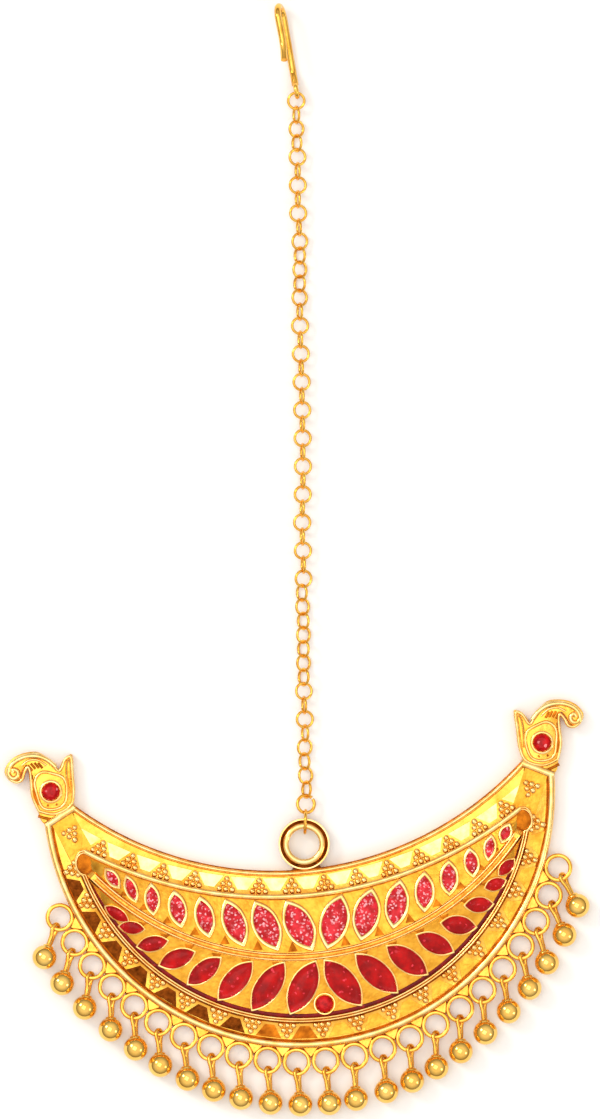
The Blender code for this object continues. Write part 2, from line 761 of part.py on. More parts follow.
def route_point(along):
    """The chain's line at a distance along +Y from its first point, as a smooth curve."""
    points = [CHAIN_STEP * Vector((x, y)) for x, y in CHAIN_ROUTE]
    last = len(points) - 2
    k = 0
    while k < last and points[k + 1].y < along:
        k += 1
    start, end = points[k], points[k + 1]
    before = points[max(k - 1, 0)]
    after = points[min(k + 2, len(points) - 1)]
    span = end.y - start.y
    t = (along - start.y) / span
    slope_start = (end.x - before.x) / (end.y - before.y) * span
    slope_end = (after.x - start.x) / (after.y - start.y) * span
    x = ((2 * t ** 3 - 3 * t ** 2 + 1) * start.x + (t ** 3 - 2 * t ** 2 + t) * slope_start
         + (-2 * t ** 3 + 3 * t ** 2) * end.x + (t ** 3 - t ** 2) * slope_end)
    return Vector((x, along))


def bail_link_centre():
    """The jump ring hangs on the far side of the bail ring's band."""
    band = TOP_EDGE + BAIL_RADIUS + 0.5 * (BAIL_RADIUS + BAIL_HOLE)
    return Vector((BAIL_LINK_ACROSS, band * math.cos(LAY_TURN) + BAIL_LINK_LAP,
                   BAIL_LINK_RADIUS + BAIL_LINK_WIRE))


def chain_links():
    """Each link as (radius, wire, sides, centre, roll), from the bail to the hook."""
    sizes = [(BAIL_LINK_RADIUS, BAIL_LINK_WIRE, JUMP_SIDES),
             (FACE_LINK_RADIUS, FACE_LINK_WIRE, JUMP_SIDES)]
    sizes += [(LINK_RADIUS, LINK_WIRE, LINK_SIDES)] * LINK_COUNT
    start = bail_link_centre()
    along = 0.0
    links = []
    for i, (radius, thick, sides) in enumerate(sizes):
        if i > 0:
            last_radius, last_thick, _ = sizes[i - 1]
            along += radius + last_radius - (thick + last_thick - LINK_WELD)
        share = i / (len(sizes) - 1)
        base = math.radians(between(CHAIN_ROLL, share))
        height = LINK_WIRE + LINK_RADIUS * max(abs(math.sin(base)), abs(math.cos(base)))
        if i == 0:
            height = start.z
        if i == 1:
            height = LINK_WIRE + LINK_RADIUS + FACE_LINK_LIFT
        roll = base + (0.5 * math.pi if i % 2 == 0 else 0.0)
        place = route_point(along)
        links.append((radius, thick, sides, Vector((start.x + place.x, start.y + along, height)),
                      roll))
    return links


def link_place(links, i):
    """The matrix of one link: its ring in the plane of the chain's line and its roll."""
    before = links[max(i - 1, 0)][3]
    after = links[min(i + 1, len(links) - 1)][3]
    along = (after - before).normalized()
    side = Vector((0.0, 0.0, 1.0)).cross(along).normalized()
    up = along.cross(side)
    across = side * math.cos(links[i][4]) + up * math.sin(links[i][4])
    turn = Matrix((along, across, along.cross(across))).transposed().to_4x4()
    return Matrix.Translation(links[i][3]) @ turn


def chain():
    links = chain_links()
    even = []
    odd = []
    for i, (radius, thick, sides, _, _) in enumerate(links):
        mesh = ring(radius, thick, sides, LINK_WIRE_SIDES)
        (even if i % 2 == 0 else odd).append((mesh, link_place(links, i)))
    piece = add_piece("chain", joined("chain", even), make_gold("gilt chain"))
    combine(piece, add_cutter("odd_links", joined("odd_links", odd)), "UNION")
    return links


def hook(links):
    """The eye stands on edge in the last link, and the wire runs on into the crook."""
    last_centre = links[-1][3]
    lap = LINK_WIRE + HOOK_EYE_WIRE + HOOK_CLEARANCE
    reach = LINK_RADIUS - lap + HOOK_EYE_RADIUS
    eye_height = last_centre.z
    base = HOOK_WIRE
    crook_start = HOOK_LENGTH - HOOK_CROOK - HOOK_WIRE
    path = [(HOOK_EYE_RADIUS, eye_height), (HOOK_BEND_START, 0.5 * (eye_height + base)),
            (HOOK_SHANK_START, base)]
    for step in range(HOOK_CROOK_STEPS + 1):
        turn = math.pi * (step / HOOK_CROOK_STEPS - 0.5)
        path.append((crook_start + HOOK_CROOK * math.cos(turn),
                     base + HOOK_CROOK + HOOK_CROOK * math.sin(turn)))
    path.append((crook_start - HOOK_RETURN_BEND * HOOK_RETURN,
                 base + 2.0 * HOOK_CROOK - HOOK_RETURN_DIP))
    path.append((crook_start - HOOK_RETURN, base + 2.0 * HOOK_CROOK + HOOK_FLARE))
    lean = math.tan(HOOK_LEAN)
    points = [(x, (z - base) * lean if x > HOOK_SHANK_START else 0.0, z) for x, z in path]
    eye = ring(HOOK_EYE_RADIUS, HOOK_EYE_WIRE, LINK_SIDES, LINK_WIRE_SIDES + 1)
    eye.transform(Matrix.Translation((0.0, 0.0, eye_height)) @ Matrix.Rotation(
        0.5 * math.pi, 4, "X"))
    piece = add_piece("hook", wire("hook", points, HOOK_WIRE), make_gold("gilt hook wire"))
    eye_helper = add_cutter("hook_eye", eye, piece)
    combine(piece, eye_helper, "UNION")
    piece.location = (last_centre.x, last_centre.y + reach, 0.0)
    piece.rotation_euler = (0.0, 0.0, 0.5 * math.pi + HOOK_TURN)


def build():
    lay = bpy.data.objects.new("crescent_lay", None)
    PARTS.objects.link(lay)
    lay.rotation_euler = (0.0, 0.0, LAY_TURN)
    crescent_plate(lay)
    upper_tier(lay)
    lower_tier(lay)
    stones(lay)
    drops()
    hook(chain())


build()
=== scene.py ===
# %% [markdown]
# # A maang tikka on a white table
# A maang tikka hangs on the forehead: a hook in the hair, a fine chain, and a pendant. This
# one has a gilt cast crescent with two bird heads, two tiers of red marquise cells and a
# fringe of beads on wire loops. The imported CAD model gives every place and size. This script
# builds the smooth, finished pieces over it, one by one, in the same frame.

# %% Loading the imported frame
import math

import bmesh
import bpy
from mathutils import Matrix, Vector


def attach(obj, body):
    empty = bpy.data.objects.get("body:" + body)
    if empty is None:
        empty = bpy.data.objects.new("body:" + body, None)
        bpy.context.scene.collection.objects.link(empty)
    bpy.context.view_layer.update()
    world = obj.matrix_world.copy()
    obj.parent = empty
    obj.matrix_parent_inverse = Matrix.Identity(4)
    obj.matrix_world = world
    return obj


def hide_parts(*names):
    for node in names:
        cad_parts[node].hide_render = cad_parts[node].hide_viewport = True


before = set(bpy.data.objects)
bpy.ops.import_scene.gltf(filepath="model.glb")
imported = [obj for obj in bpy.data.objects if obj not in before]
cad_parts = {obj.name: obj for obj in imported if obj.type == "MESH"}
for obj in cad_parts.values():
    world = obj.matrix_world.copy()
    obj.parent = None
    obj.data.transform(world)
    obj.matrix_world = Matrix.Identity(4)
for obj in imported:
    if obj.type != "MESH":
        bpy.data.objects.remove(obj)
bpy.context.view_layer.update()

print("CAD nodes:", len(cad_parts))

# %% [markdown]
# ## Working in millimetres
# A jewel is measured in tenths of a millimetre, so every piece is drawn in millimetres and
# brought to metres once, when it is finished. The crescent is drawn upright about its own
# axis and then turned by the angle at which it lies, because a symmetric drawing is easier
# to read than a turned one.

# %% Units and the way the crescent lies
MM = 0.001
TO_METRES = Matrix.Scale(MM, 4)
LAY = Matrix.Rotation(math.radians(5.7), 4, "Z")


def mesh_from(points, faces, edges=()):
    mesh = bpy.data.meshes.new("drawn")
    mesh.from_pydata([tuple(point) for point in points], list(edges), list(faces))
    return mesh


def tidy(mesh, merge=0.001):
    """Merges doubles and turns every face outwards."""
    work = bmesh.new()
    work.from_mesh(mesh)
    bmesh.ops.remove_doubles(work, verts=work.verts, dist=merge)
    bmesh.ops.recalc_face_normals(work, faces=work.faces)
    work.to_mesh(mesh)
    work.free()
    return mesh


def joined(meshes):
    """One mesh out of several."""
    work = bmesh.new()
    for mesh in meshes:
        work.from_mesh(mesh)
    result = bpy.data.meshes.new("joined")
    work.to_mesh(result)
    work.free()
    return result


def finish(name, mesh, material, nodes=(), lay=True, crease=40.0):
    """Brings a drawn mesh to its place and hangs it on the body."""
    mesh.transform(TO_METRES)
    if lay:
        mesh.transform(LAY)
    mesh.name = name
    mesh.materials.clear()
    mesh.materials.append(material)
    mesh.shade_smooth()
    mesh.set_sharp_from_angle(angle=math.radians(crease))
    piece = bpy.data.objects.new(name, mesh)
    bpy.context.scene.collection.objects.link(piece)
    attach(piece, "root")
    if nodes:
        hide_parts(*nodes)
    print(name, "has", sum(len(face.vertices) - 2 for face in mesh.polygons), "triangles")
    return piece


# %% [markdown]
# ## Nodes and colours
# Every material and every Geometry Nodes tree here is a list of nodes with settings and
# links, so one helper adds a node. Colours are given as the hex values that a picture editor
# shows, and Blender wants linear light, so one function turns them.

# %% A helper for nodes and a helper for colours
def add_node(tree, kind, inputs=None, **settings):
    """Adds a node; an input takes a value or the socket that feeds it."""
    made = tree.nodes.new(kind)
    for key, value in settings.items():
        setattr(made, key, value)
    for key, value in (inputs or {}).items():
        if isinstance(value, bpy.types.NodeSocket):
            tree.links.new(value, made.inputs[key])
        else:
            made.inputs[key].default_value = value
    return made


def linear(hex_colour):
    parts = [int(hex_colour[i:i + 2], 16) / 255.0 for i in (1, 3, 5)]
    return tuple(p / 12.92 if p <= 0.04045 else ((p + 0.055) / 1.055) ** 2.4 for p in parts) + (1.0,)


# %% [markdown]
# ## Gilding
# The jewel is a base metal casting with a thin layer of bright yellow gilding. Its colour
# isn't even: the raised parts are painted pale as a highlight, and the low places orange as painted shade.
# A Principled shader with full metallic gives the reflections, one noise moves the tone over
# a few millimetres, and a finer noise gives the small unevenness of a cast skin as a bump.
# The noises read Object coordinates, in metres, so each scale is one over a real size.

# %% The gilt finishes
# Noise values under the first are wholly deep in tone, and those over the second wholly pale
TONE_LOW = 0.2
TONE_HIGH = 0.65


def gilt(name, pale, deep, patch, skin, bump, roughness):
    """Gilding with patches of tone (patch mm) and a cast skin (skin mm, bump mm deep)."""
    material = bpy.data.materials.new(name)
    material.use_nodes = True
    tree = material.node_tree
    shader = tree.nodes["Principled BSDF"]
    shader.inputs["Metallic"].default_value = 1.0
    place = add_node(tree, "ShaderNodeTexCoord").outputs["Object"]
    tone = add_node(tree, "ShaderNodeTexNoise", {
        "Vector": place, "Scale": 1.0 / (patch * MM), "Detail": 3.0, "Roughness": 0.55})
    ramp = add_node(tree, "ShaderNodeValToRGB", {"Fac": tone.outputs["Fac"]})
    ramp.color_ramp.elements[0].position = TONE_LOW
    ramp.color_ramp.elements[0].color = linear(deep)
    ramp.color_ramp.elements[1].position = TONE_HIGH
    ramp.color_ramp.elements[1].color = linear(pale)
    tree.links.new(ramp.outputs["Color"], shader.inputs["Base Color"])
    fine = add_node(tree, "ShaderNodeTexNoise", {
        "Vector": place, "Scale": 1.0 / (skin * MM), "Detail": 2.0})
    rough = add_node(tree, "ShaderNodeMapRange", {
        "Value": fine.outputs["Fac"], "To Min": roughness * 0.7, "To Max": roughness * 1.4})
    tree.links.new(rough.outputs["Result"], shader.inputs["Roughness"])
    relief = add_node(tree, "ShaderNodeBump", {
        "Height": fine.outputs["Fac"], "Strength": 1.0, "Distance": bump * MM})
    tree.links.new(relief.outputs["Normal"], shader.inputs["Normal"])
    return material


# Gilt zinc casting: bright, slightly uneven, so that highlights break up
GILT_CAST = gilt("gilt_cast", "#FFC858", "#E08C20", 2.4, 0.55, 0.04, 0.24)
# Raised parts and the upper band's grounds: a pale gilt that is a painted highlight
GILT_HIGHLIGHT = gilt("gilt_painted_highlight", "#FFDD96", "#F6B24A", 1.6, 0.5, 0.02, 0.16)
# Low places: orange to brown as painted shade, rough from the mould
GILT_RECESS_SHADE = gilt("gilt_painted_recess_shade", "#D67A1C", "#6E2A08", 1.2, 0.3, 0.05, 0.4)
# The setting between the red cells: softly rough, and mottled from yellow to orange
GILT_SETTING = gilt("gilt_setting", "#F2B440", "#CC8420", 1.4, 0.5, 0.06, 0.34)
# The darkest gilt: painted shade in the bail's groove, also used under the bail and for the lower band's
# darkest grounds
GILT_DARK = gilt("gilt_darkest_recess", "#8A4412", "#300E02", 0.8, 0.25, 0.06, 0.45)
# Warm orange gilt, for the ground under the lower band's grains and the floor between the ridge wires
GILT_WARM = gilt("gilt_warm_ground", "#FFBE50", "#CF7616", 1.0, 0.3, 0.05, 0.3)
# Drawn wire of the chain, loops and hook
GILT_WIRE = gilt("gilt_drawn_wire", "#FFC95E", "#E59A2C", 1.5, 0.45, 0.012, 0.17)
# Hollow beads: polished in a barrel, so almost a mirror
GILT_BEAD = gilt("gilt_polished_bead", "#FFD272", "#FABA4A", 2.0, 0.8, 0.008, 0.1)

# %% [markdown]
# ## Red fillings
# The cells hold two fillings. The upper tier has a clear red lacquer over glitter, so it is
# pink-red with pale specks of a tenth or two of a millimetre. The lower tier has plain red
# enamel, deep and smooth. Both are glossy plastics in the shader: a colour under a clear
# coat. The specks are Voronoi cells with a random brightness: they are the glitter's pale
# flakes and, where they are bright, painted glints of flakes that catch the light.

# %% Glitter lacquer and plain enamel
def red_filling(name, base, light, patch, fleck, fleck_share, fleck_colour):
    material = bpy.data.materials.new(name)
    material.use_nodes = True
    tree = material.node_tree
    shader = tree.nodes["Principled BSDF"]
    shader.inputs["Roughness"].default_value = 0.3
    shader.inputs["Specular IOR Level"].default_value = 0.14
    shader.inputs["Coat Weight"].default_value = 0.1
    shader.inputs["Coat Roughness"].default_value = 0.05
    place = add_node(tree, "ShaderNodeTexCoord").outputs["Object"]
    cloud = add_node(tree, "ShaderNodeTexNoise", {
        "Vector": place, "Scale": 1.0 / (patch * MM), "Detail": 4.0})
    ramp = add_node(tree, "ShaderNodeValToRGB", {"Fac": cloud.outputs["Fac"]})
    ramp.color_ramp.elements[0].position = 0.38
    ramp.color_ramp.elements[0].color = linear(base)
    ramp.color_ramp.elements[1].position = 0.68
    ramp.color_ramp.elements[1].color = linear(light)
    flakes = add_node(tree, "ShaderNodeTexVoronoi", {
        "Vector": place, "Scale": 1.0 / (fleck * MM)})
    lit = add_node(tree, "ShaderNodeSeparateColor", {"Color": flakes.outputs["Color"]})
    shows = add_node(tree, "ShaderNodeMapRange", {
        "Value": lit.outputs["Red"], "From Min": 1.0 - fleck_share, "From Max": 1.0})
    # In a colour Mix node, sockets 6 and 7 are the two colours, and output 2 is their mix
    mix = add_node(tree, "ShaderNodeMix", {
        6: ramp.outputs["Color"], 7: linear(fleck_colour)}, data_type="RGBA")
    tree.links.new(shows.outputs["Result"], mix.inputs["Factor"])
    tree.links.new(mix.outputs[2], shader.inputs["Base Color"])
    relief = add_node(tree, "ShaderNodeBump", {
        "Height": cloud.outputs["Fac"], "Strength": 1.0, "Distance": 0.05 * MM})
    tree.links.new(relief.outputs["Normal"], shader.inputs["Normal"])
    return material


# Glitter lacquer: pink-red, with pale flakes of 0.22 mm drawn a little larger than real, partly painted
# glints
GLITTER_RED = red_filling("glitter_lacquer_red", "#B4060E", "#EE2A38", 0.9, 0.22, 0.24, "#FFC0C8")
# Enamel: deep red in soft clouds, with a few pale flakes that are partly painted glints
ENAMEL_RED = red_filling("enamel_red", "#960002", "#CE0808", 1.6, 0.25, 0.04, "#F04050")
# A painted shadow line, with a painted red reflection, in the gap beside the lower frame
SHADOW_RED = red_filling("painted_shadow_red", "#620000", "#900202", 1.0, 0.3, 0.02, "#B02020")
# Pressed plastic stone with a foil back; its pale specks are painted glints of the foil
STONE_RED = red_filling("foiled_stone_red", "#A40004", "#DC1418", 0.7, 0.3, 0.05, "#FF9A9A")

# %% [markdown]
# ## The lines of the crescent
# Every line of the crescent is a circular arc, lowest on the axis. An arc is given by its
# lowest point and its end, so its radius and its half angle follow. A place on it is a share
# from minus one to one, and an outset moves it away from the arc's centre.

# %% Arcs that the casting follows
class Arc:
    """A line of the crescent, symmetric about the axis."""

    def __init__(self, low, end_u, end_v):
        rise = end_v - low
        self.low = low
        self.radius = (end_u ** 2 + rise ** 2) / (2.0 * rise)
        self.half = 2.0 * math.atan2(rise, end_u)

    def at(self, share, outset=0.0):
        turn = share * self.half
        reach = self.radius + outset
        return Vector((reach * math.sin(turn), self.low + self.radius - reach * math.cos(turn)))

    def beyond(self, point):
        return (point - Vector((0.0, self.low + self.radius))).length - self.radius

    def path(self, outset, height, count=140, reach=1.0):
        """Points along the line from end to end, at one height."""
        shares = [reach * (-1.0 + 2.0 * i / (count - 1)) for i in range(count)]
        return [(*self.at(share, outset), height) for share in shares]


HORN_INNER = Vector((27.9, 12.4))
HORN_OUTER = Vector((31.96, 10.35))
TOP = Arc(1.75, *HORN_INNER)
FRAME_TOP = Arc(-1.65, 27.45, 6.566)
RIDGE = Arc(-9.0, 27.45, 4.676)
FRAME_LOW = Arc(-16.75, 27.45, 3.866)
CONVEX = Arc(-20.51, *HORN_OUTER)
print("radii in mm:", [round(line.radius, 1) for line in (TOP, FRAME_TOP, RIDGE, FRAME_LOW, CONVEX)])

# %% [markdown]
# ## The body of the casting
# The body is one shape carried along the crescent: a flat back, a rounded concave rim, a
# granulated band, the bed of the cells with its ridge, a second band and the convex rim. A
# loft through a hundred and forty sections draws it, because the five lines that it follows
# have different centres. A last section at each end closes it under the bird's head.

# %% Lofting the body
def loft(rings, capped=True, round_path=False):
    """A skin through rings with the same number of points."""
    count = len(rings[0])
    pairs = [(i, i + 1) for i in range(len(rings) - 1)]
    if round_path:
        pairs.append((len(rings) - 1, 0))
    faces = [(a * count + i, b * count + i, b * count + (i + 1) % count, a * count + (i + 1) % count)
             for a, b in pairs for i in range(count)]
    if capped and not round_path:
        faces.append(tuple(range(count)))
        faces.append(tuple(range((len(rings) - 1) * count, len(rings) * count)))
    return tidy(mesh_from([point for ring in rings for point in ring], faces))


BODY = (
    (TOP, 0.0, 0.0), (TOP, 0.0, 1.55), (TOP, 0.12, 1.7), (TOP, 0.58, 1.7), (TOP, 0.7, 1.5),
    (TOP, 1.1, 1.5), (FRAME_TOP, -1.0, 1.62), (FRAME_TOP, -0.45, 1.8), (FRAME_TOP, -0.4, 2.2),
    (FRAME_TOP, 0.1, 2.2), (RIDGE, -0.5, 2.95), (RIDGE, -0.42, 3.22), (RIDGE, 0.0, 3.18),
    (RIDGE, 0.42, 3.22), (RIDGE, 0.5, 2.95), (FRAME_LOW, -0.1, 2.2), (FRAME_LOW, 0.4, 2.2),
    (FRAME_LOW, 0.45, 1.8), (FRAME_LOW, 1.0, 1.62), (CONVEX, -1.2, 1.5), (CONVEX, -0.95, 1.5),
    (CONVEX, -0.8, 1.68), (CONVEX, -0.14, 1.68), (CONVEX, 0.0, 1.5), (CONVEX, 0.0, 0.0),
    (RIDGE, 0.0, 0.0),
)


def body_section(share):
    """The frame's bed and the ridge sink to the band just before the tips."""
    left = min(1.0, (1.0 - abs(share)) / 0.04)
    return [(*line.at(share, outset), height if height < 1.75 else 1.6 + (height - 1.6) * left)
            for line, outset, height in BODY]


def neck_section(side):
    """The straight end under the head, half a millimetre beyond the arcs."""
    width = (HORN_OUTER - HORN_INNER).length
    reach = Vector((HORN_INNER.y - HORN_OUTER.y, HORN_OUTER.x - HORN_INNER.x)) * (0.5 / width)
    points = []
    for k, (_, _, height) in enumerate(BODY[:-1]):
        place = HORN_INNER.lerp(HORN_OUTER, k / (len(BODY) - 2)) + reach
        points.append((side * place.x, place.y, min(height, 1.6)))
    place = HORN_INNER.lerp(HORN_OUTER, 0.5) + reach
    return points + [(side * place.x, place.y, 0.0)]


sections = [body_section(-1.0 + 2.0 * i / 140) for i in range(141)]
body = loft([neck_section(-1.0)] + sections + [neck_section(1.0)])
finish("crescent_body", body, GILT_CAST, ("crescent_plate",), crease=32.0)

# %% [markdown]
# ## Wires along the lines
# The rims, the double frame and the ridge read as fine wires laid on the casting. They
# follow a path, which is what Curve to Mesh is for: one tree takes a drawn line and sweeps an
# oval along it. Its width, its height and the number of sides are inputs, so one tree serves
# every line of the jewel.

# %% A tree that sweeps an oval wire along a line
def new_tree(name, labels):
    """A Geometry Nodes tree with its named inputs, and the node that gives them."""
    tree = bpy.data.node_groups.new(name, "GeometryNodeTree")
    tree.interface.new_socket("Geometry", in_out="INPUT", socket_type="NodeSocketGeometry")
    for label, kind in labels:
        tree.interface.new_socket(label, in_out="INPUT", socket_type="NodeSocket" + kind)
    tree.interface.new_socket("Geometry", in_out="OUTPUT", socket_type="NodeSocketGeometry")
    return tree, add_node(tree, "NodeGroupInput").outputs


def run_tree(tree, mesh, values):
    """Sets the tree's inputs by their identifiers, and returns the plain mesh that it makes."""
    carrier = bpy.data.objects.new("carrier", mesh)
    bpy.context.scene.collection.objects.link(carrier)
    modifier = carrier.modifiers.new("made", "NODES")
    modifier.node_group = tree
    for item in tree.interface.items_tree:
        if item.in_out == "INPUT" and item.name in values:
            modifier[item.identifier] = values[item.name]
    bpy.context.view_layer.update()
    depsgraph = bpy.context.evaluated_depsgraph_get()
    made = bpy.data.meshes.new_from_object(carrier.evaluated_get(depsgraph))
    bpy.data.objects.remove(carrier)
    return made


WIRE_TREE, given = new_tree("wire along a line", (
    ("Width", "Float"), ("Height", "Float"), ("Sides", "Int"), ("Material", "Material")))
line_curve = add_node(WIRE_TREE, "GeometryNodeMeshToCurve", {"Mesh": given["Geometry"]})
round_section = add_node(WIRE_TREE, "GeometryNodeCurvePrimitiveCircle", {
    "Resolution": given["Sides"], "Radius": 0.5})
oval = add_node(WIRE_TREE, "ShaderNodeCombineXYZ", {
    "X": given["Width"], "Y": given["Height"], "Z": 1.0})
section = add_node(WIRE_TREE, "GeometryNodeTransform", {
    "Geometry": round_section.outputs["Curve"], "Scale": oval.outputs["Vector"]})
swept = add_node(WIRE_TREE, "GeometryNodeCurveToMesh", {
    "Curve": line_curve.outputs["Curve"], "Profile Curve": section.outputs["Geometry"],
    "Fill Caps": True})
painted = add_node(WIRE_TREE, "GeometryNodeSetMaterial", {
    "Geometry": swept.outputs["Mesh"], "Material": given["Material"]})
add_node(WIRE_TREE, "NodeGroupOutput", {"Geometry": painted.outputs["Geometry"]})


def wires(paths, width, height, material, closed=False, sides=10):
    """Oval wires along several paths."""
    points = []
    edges = []
    for path in paths:
        first = len(points)
        points.extend(path)
        edges.extend((i, i + 1) for i in range(first, len(points) - 1))
        if closed:
            edges.append((len(points) - 1, first))
    lines = mesh_from(points, (), edges)
    return tidy(run_tree(WIRE_TREE, lines, {
        "Width": width, "Height": height, "Sides": sides, "Material": material}))


print("nodes in the wire tree:", len(WIRE_TREE.nodes))

# %% [markdown]
# The frame wires run along the upper line, turn round each tip and come back along the lower
# line, so each is a closed path. The tip is a half ellipse between the two lines' ends. Three
# finishes tell the lines apart: wires in a pale painted highlight, lines of painted shade beside
# them, and a dark red line along the lower frame that is a painted shadow with a painted red
# reflection in the gap there.

# %% Rims, frame and ridge
def frame_path(outset, height):
    """The closed path of a frame wire, outset from the field of cells."""
    top = [(*FRAME_TOP.at(-1.0 + i / 60.0, -outset), height) for i in range(121)]
    low = [(*FRAME_LOW.at(1.0 - i / 60.0, outset), height) for i in range(121)]
    middle = 0.5 * (top[-1][1] + low[0][1])
    tall = 0.5 * (top[-1][1] - low[0][1])
    turns = [math.pi * (0.5 - i / 10.0) for i in range(1, 10)]
    across = 0.5 * (top[-1][0] + low[0][0])
    right = [(across + 1.1 * math.cos(t), middle + tall * math.sin(t), height) for t in turns]
    left = [(-x, y, z) for x, y, z in reversed(right)]
    return top + right + low + left


# Pale wires in the painted highlight
highlit_wires = [
    wires([TOP.path(0.34, 1.62, reach=1.012)], 0.46, 0.5, GILT_HIGHLIGHT),
    wires([FRAME_TOP.path(-0.24, 2.36)], 0.62, 0.56, GILT_HIGHLIGHT),
    wires([CONVEX.path(-0.45, 1.6, 180, 1.008)], 0.8, 0.6, GILT_HIGHLIGHT),
    wires([frame_path(0.06, 2.42), frame_path(0.38, 2.38)], 0.24, 0.3, GILT_HIGHLIGHT, closed=True, sides=12),
    wires([RIDGE.path(-0.34, 3.3, reach=0.95), RIDGE.path(0.34, 3.3, reach=0.95)], 0.24, 0.3,
          GILT_HIGHLIGHT, sides=12),
]
finish("rims_and_frame", joined(highlit_wires), GILT_HIGHLIGHT)
# Painted shade: dark lines beside the wires, where the grooves are
shade_lines = [
    wires([TOP.path(0.06, 1.5)], 0.26, 0.4, GILT_RECESS_SHADE, sides=8),
    wires([TOP.path(0.6, 1.52)], 0.14, 0.2, GILT_RECESS_SHADE, sides=8),
    wires([CONVEX.path(-0.98, 1.52, 180)], 0.2, 0.2, GILT_RECESS_SHADE, sides=8),
    wires([FRAME_LOW.path(0.6, 1.9)], 0.2, 0.3, GILT_RECESS_SHADE, sides=8),
]
finish("burnt_lines", joined(shade_lines), GILT_RECESS_SHADE)
ridge_floor = wires([RIDGE.path(0.0, 3.2, reach=0.94)], 0.42, 0.14, GILT_WARM, sides=8)
finish("ridge_floor", ridge_floor, GILT_WARM)
# Painted shadow with a painted red reflection, in the gap along the lower frame
run_lacquer = wires([FRAME_LOW.path(-0.34, 2.36, reach=0.97)], 0.5, 0.3, SHADOW_RED, sides=8)
finish("run_lacquer", run_lacquer, SHADOW_RED)

# %% [markdown]
# ## The bed under the cells
# The frame stands on a flat bed with rounded tips. A filled 2D curve with a small bevel gives
# such a plate with softened edges from its outline alone, and the bird heads use it too.

# %% A plate from an outline
def plate(outline, bottom, top, bevel=0.1):
    """A flat plate with rounded edges, out of a closed ring of points."""
    curve = bpy.data.curves.new("plate", "CURVE")
    curve.dimensions = "2D"
    curve.fill_mode = "BOTH"
    curve.extrude = 0.5 * (top - bottom) - bevel
    curve.bevel_depth = bevel
    curve.bevel_resolution = 2
    curve.offset = -bevel
    spline = curve.splines.new("POLY")
    spline.points.add(len(outline) - 1)
    for point, place in zip(spline.points, outline):
        point.co = (place[0], place[1], 0.0, 1.0)
    spline.use_cyclic_u = True
    helper = bpy.data.objects.new("plate", curve)
    bpy.context.scene.collection.objects.link(helper)
    bpy.context.view_layer.update()
    depsgraph = bpy.context.evaluated_depsgraph_get()
    mesh = bpy.data.meshes.new_from_object(helper.evaluated_get(depsgraph))
    bpy.data.objects.remove(helper)
    mesh.transform(Matrix.Translation((0.0, 0.0, 0.5 * (top + bottom))))
    return tidy(mesh)


# The bed shows only in gaps, so it takes the painted recess shade
finish("cell_bed", plate(frame_path(0.5, 0.0), 1.3, 2.3, 0.08), GILT_RECESS_SHADE)

# %% [markdown]
# ## The two tiers
# Each tier is a gilt sheet that climbs from the frame to the ridge, with marquise cells on
# it. A marquise is a pointed oval: its half width falls to nothing towards both ends. The
# cells grow smaller towards the tips and lean over, so a table gives each one's place, length,
# width and lean, and the mirror side follows from the same row.

# %% The sheets of the tiers
# A tier: its frame line, the gap to it, its side of the ridge, and its cells. A cell's columns are
# its place as a share of the half arc, its reach as a share of the field, its width and its lean
TIERS = {
    "upper": (FRAME_TOP, 0.2, -1.0, (
        (0.073, 0.92, 1.00, 25.0), (0.209, 0.89, 0.94, 28.0), (0.341, 0.87, 0.84, 30.0),
        (0.467, 0.83, 0.71, 27.0), (0.584, 0.82, 0.66, 31.0), (0.697, 0.86, 0.56, 29.0),
        (0.795, 0.72, 0.46, 49.0), (0.885, 0.46, 0.46, 68.0))),
    "lower": (FRAME_LOW, -0.2, 1.0, (
        (0.073, 0.89, 0.94, -28.0), (0.200, 0.91, 0.88, -28.0), (0.321, 0.87, 0.81, -28.0),
        (0.440, 0.80, 0.71, -30.0), (0.549, 0.73, 0.68, -41.0), (0.654, 0.71, 0.57, -44.0),
        (0.750, 0.61, 0.47, -55.0), (0.825, 0.36, 0.44, -76.0))),
}
SHEET_LOW = 2.35
SHEET_RISE = 0.8
CELL_WIDTH = 3.4
# The CAD cell is an octagon, and a true marquise of the same area reaches a little further
CELL_REACH = 1.12
# The pattern of cells sits a little to the right of the crescent's own axis
CELL_SHIFT = 0.6
# How far along the arc the sheets go, and where they start beside the ridge
SHEET_REACH = 0.97
SHEET_FROM_RIDGE = 0.62
SHEET_SIDE = 0.3
# Where a lower cell's middle lies between the frame and the ridge; an upper one lies halfway
LOWER_CELL_MIDDLE = 0.535


def middle_of(line):
    return Arc(0.5 * (line.low + RIDGE.low), 27.45,
               0.5 * (line.at(1.0).y + RIDGE.at(1.0).y))


def sheet_height(line, point):
    """The height of a tier's sheet at a point: low at the frame, high at the ridge."""
    from_frame = abs(line.beyond(point))
    from_ridge = abs(RIDGE.beyond(point))
    return SHEET_LOW + SHEET_RISE * from_frame / (from_frame + from_ridge)


def sheet_mesh(line, gap, ridge_side):
    """A sheet from the frame up to the ridge, with a side down at each edge."""
    high = SHEET_LOW + SHEET_RISE
    rings_of = []
    for i in range(121):
        share = SHEET_REACH * (-1.0 + i / 60.0)
        near = line.at(share, gap)
        far = RIDGE.at(share, ridge_side * SHEET_FROM_RIDGE)
        halfway = (*near.lerp(far, 0.5), SHEET_LOW + 0.5 * SHEET_RISE)
        rings_of.append([(*near, SHEET_LOW - SHEET_SIDE), (*near, SHEET_LOW), halfway,
                         (*far, high), (*far, high - SHEET_SIDE)])
    return loft(rings_of)


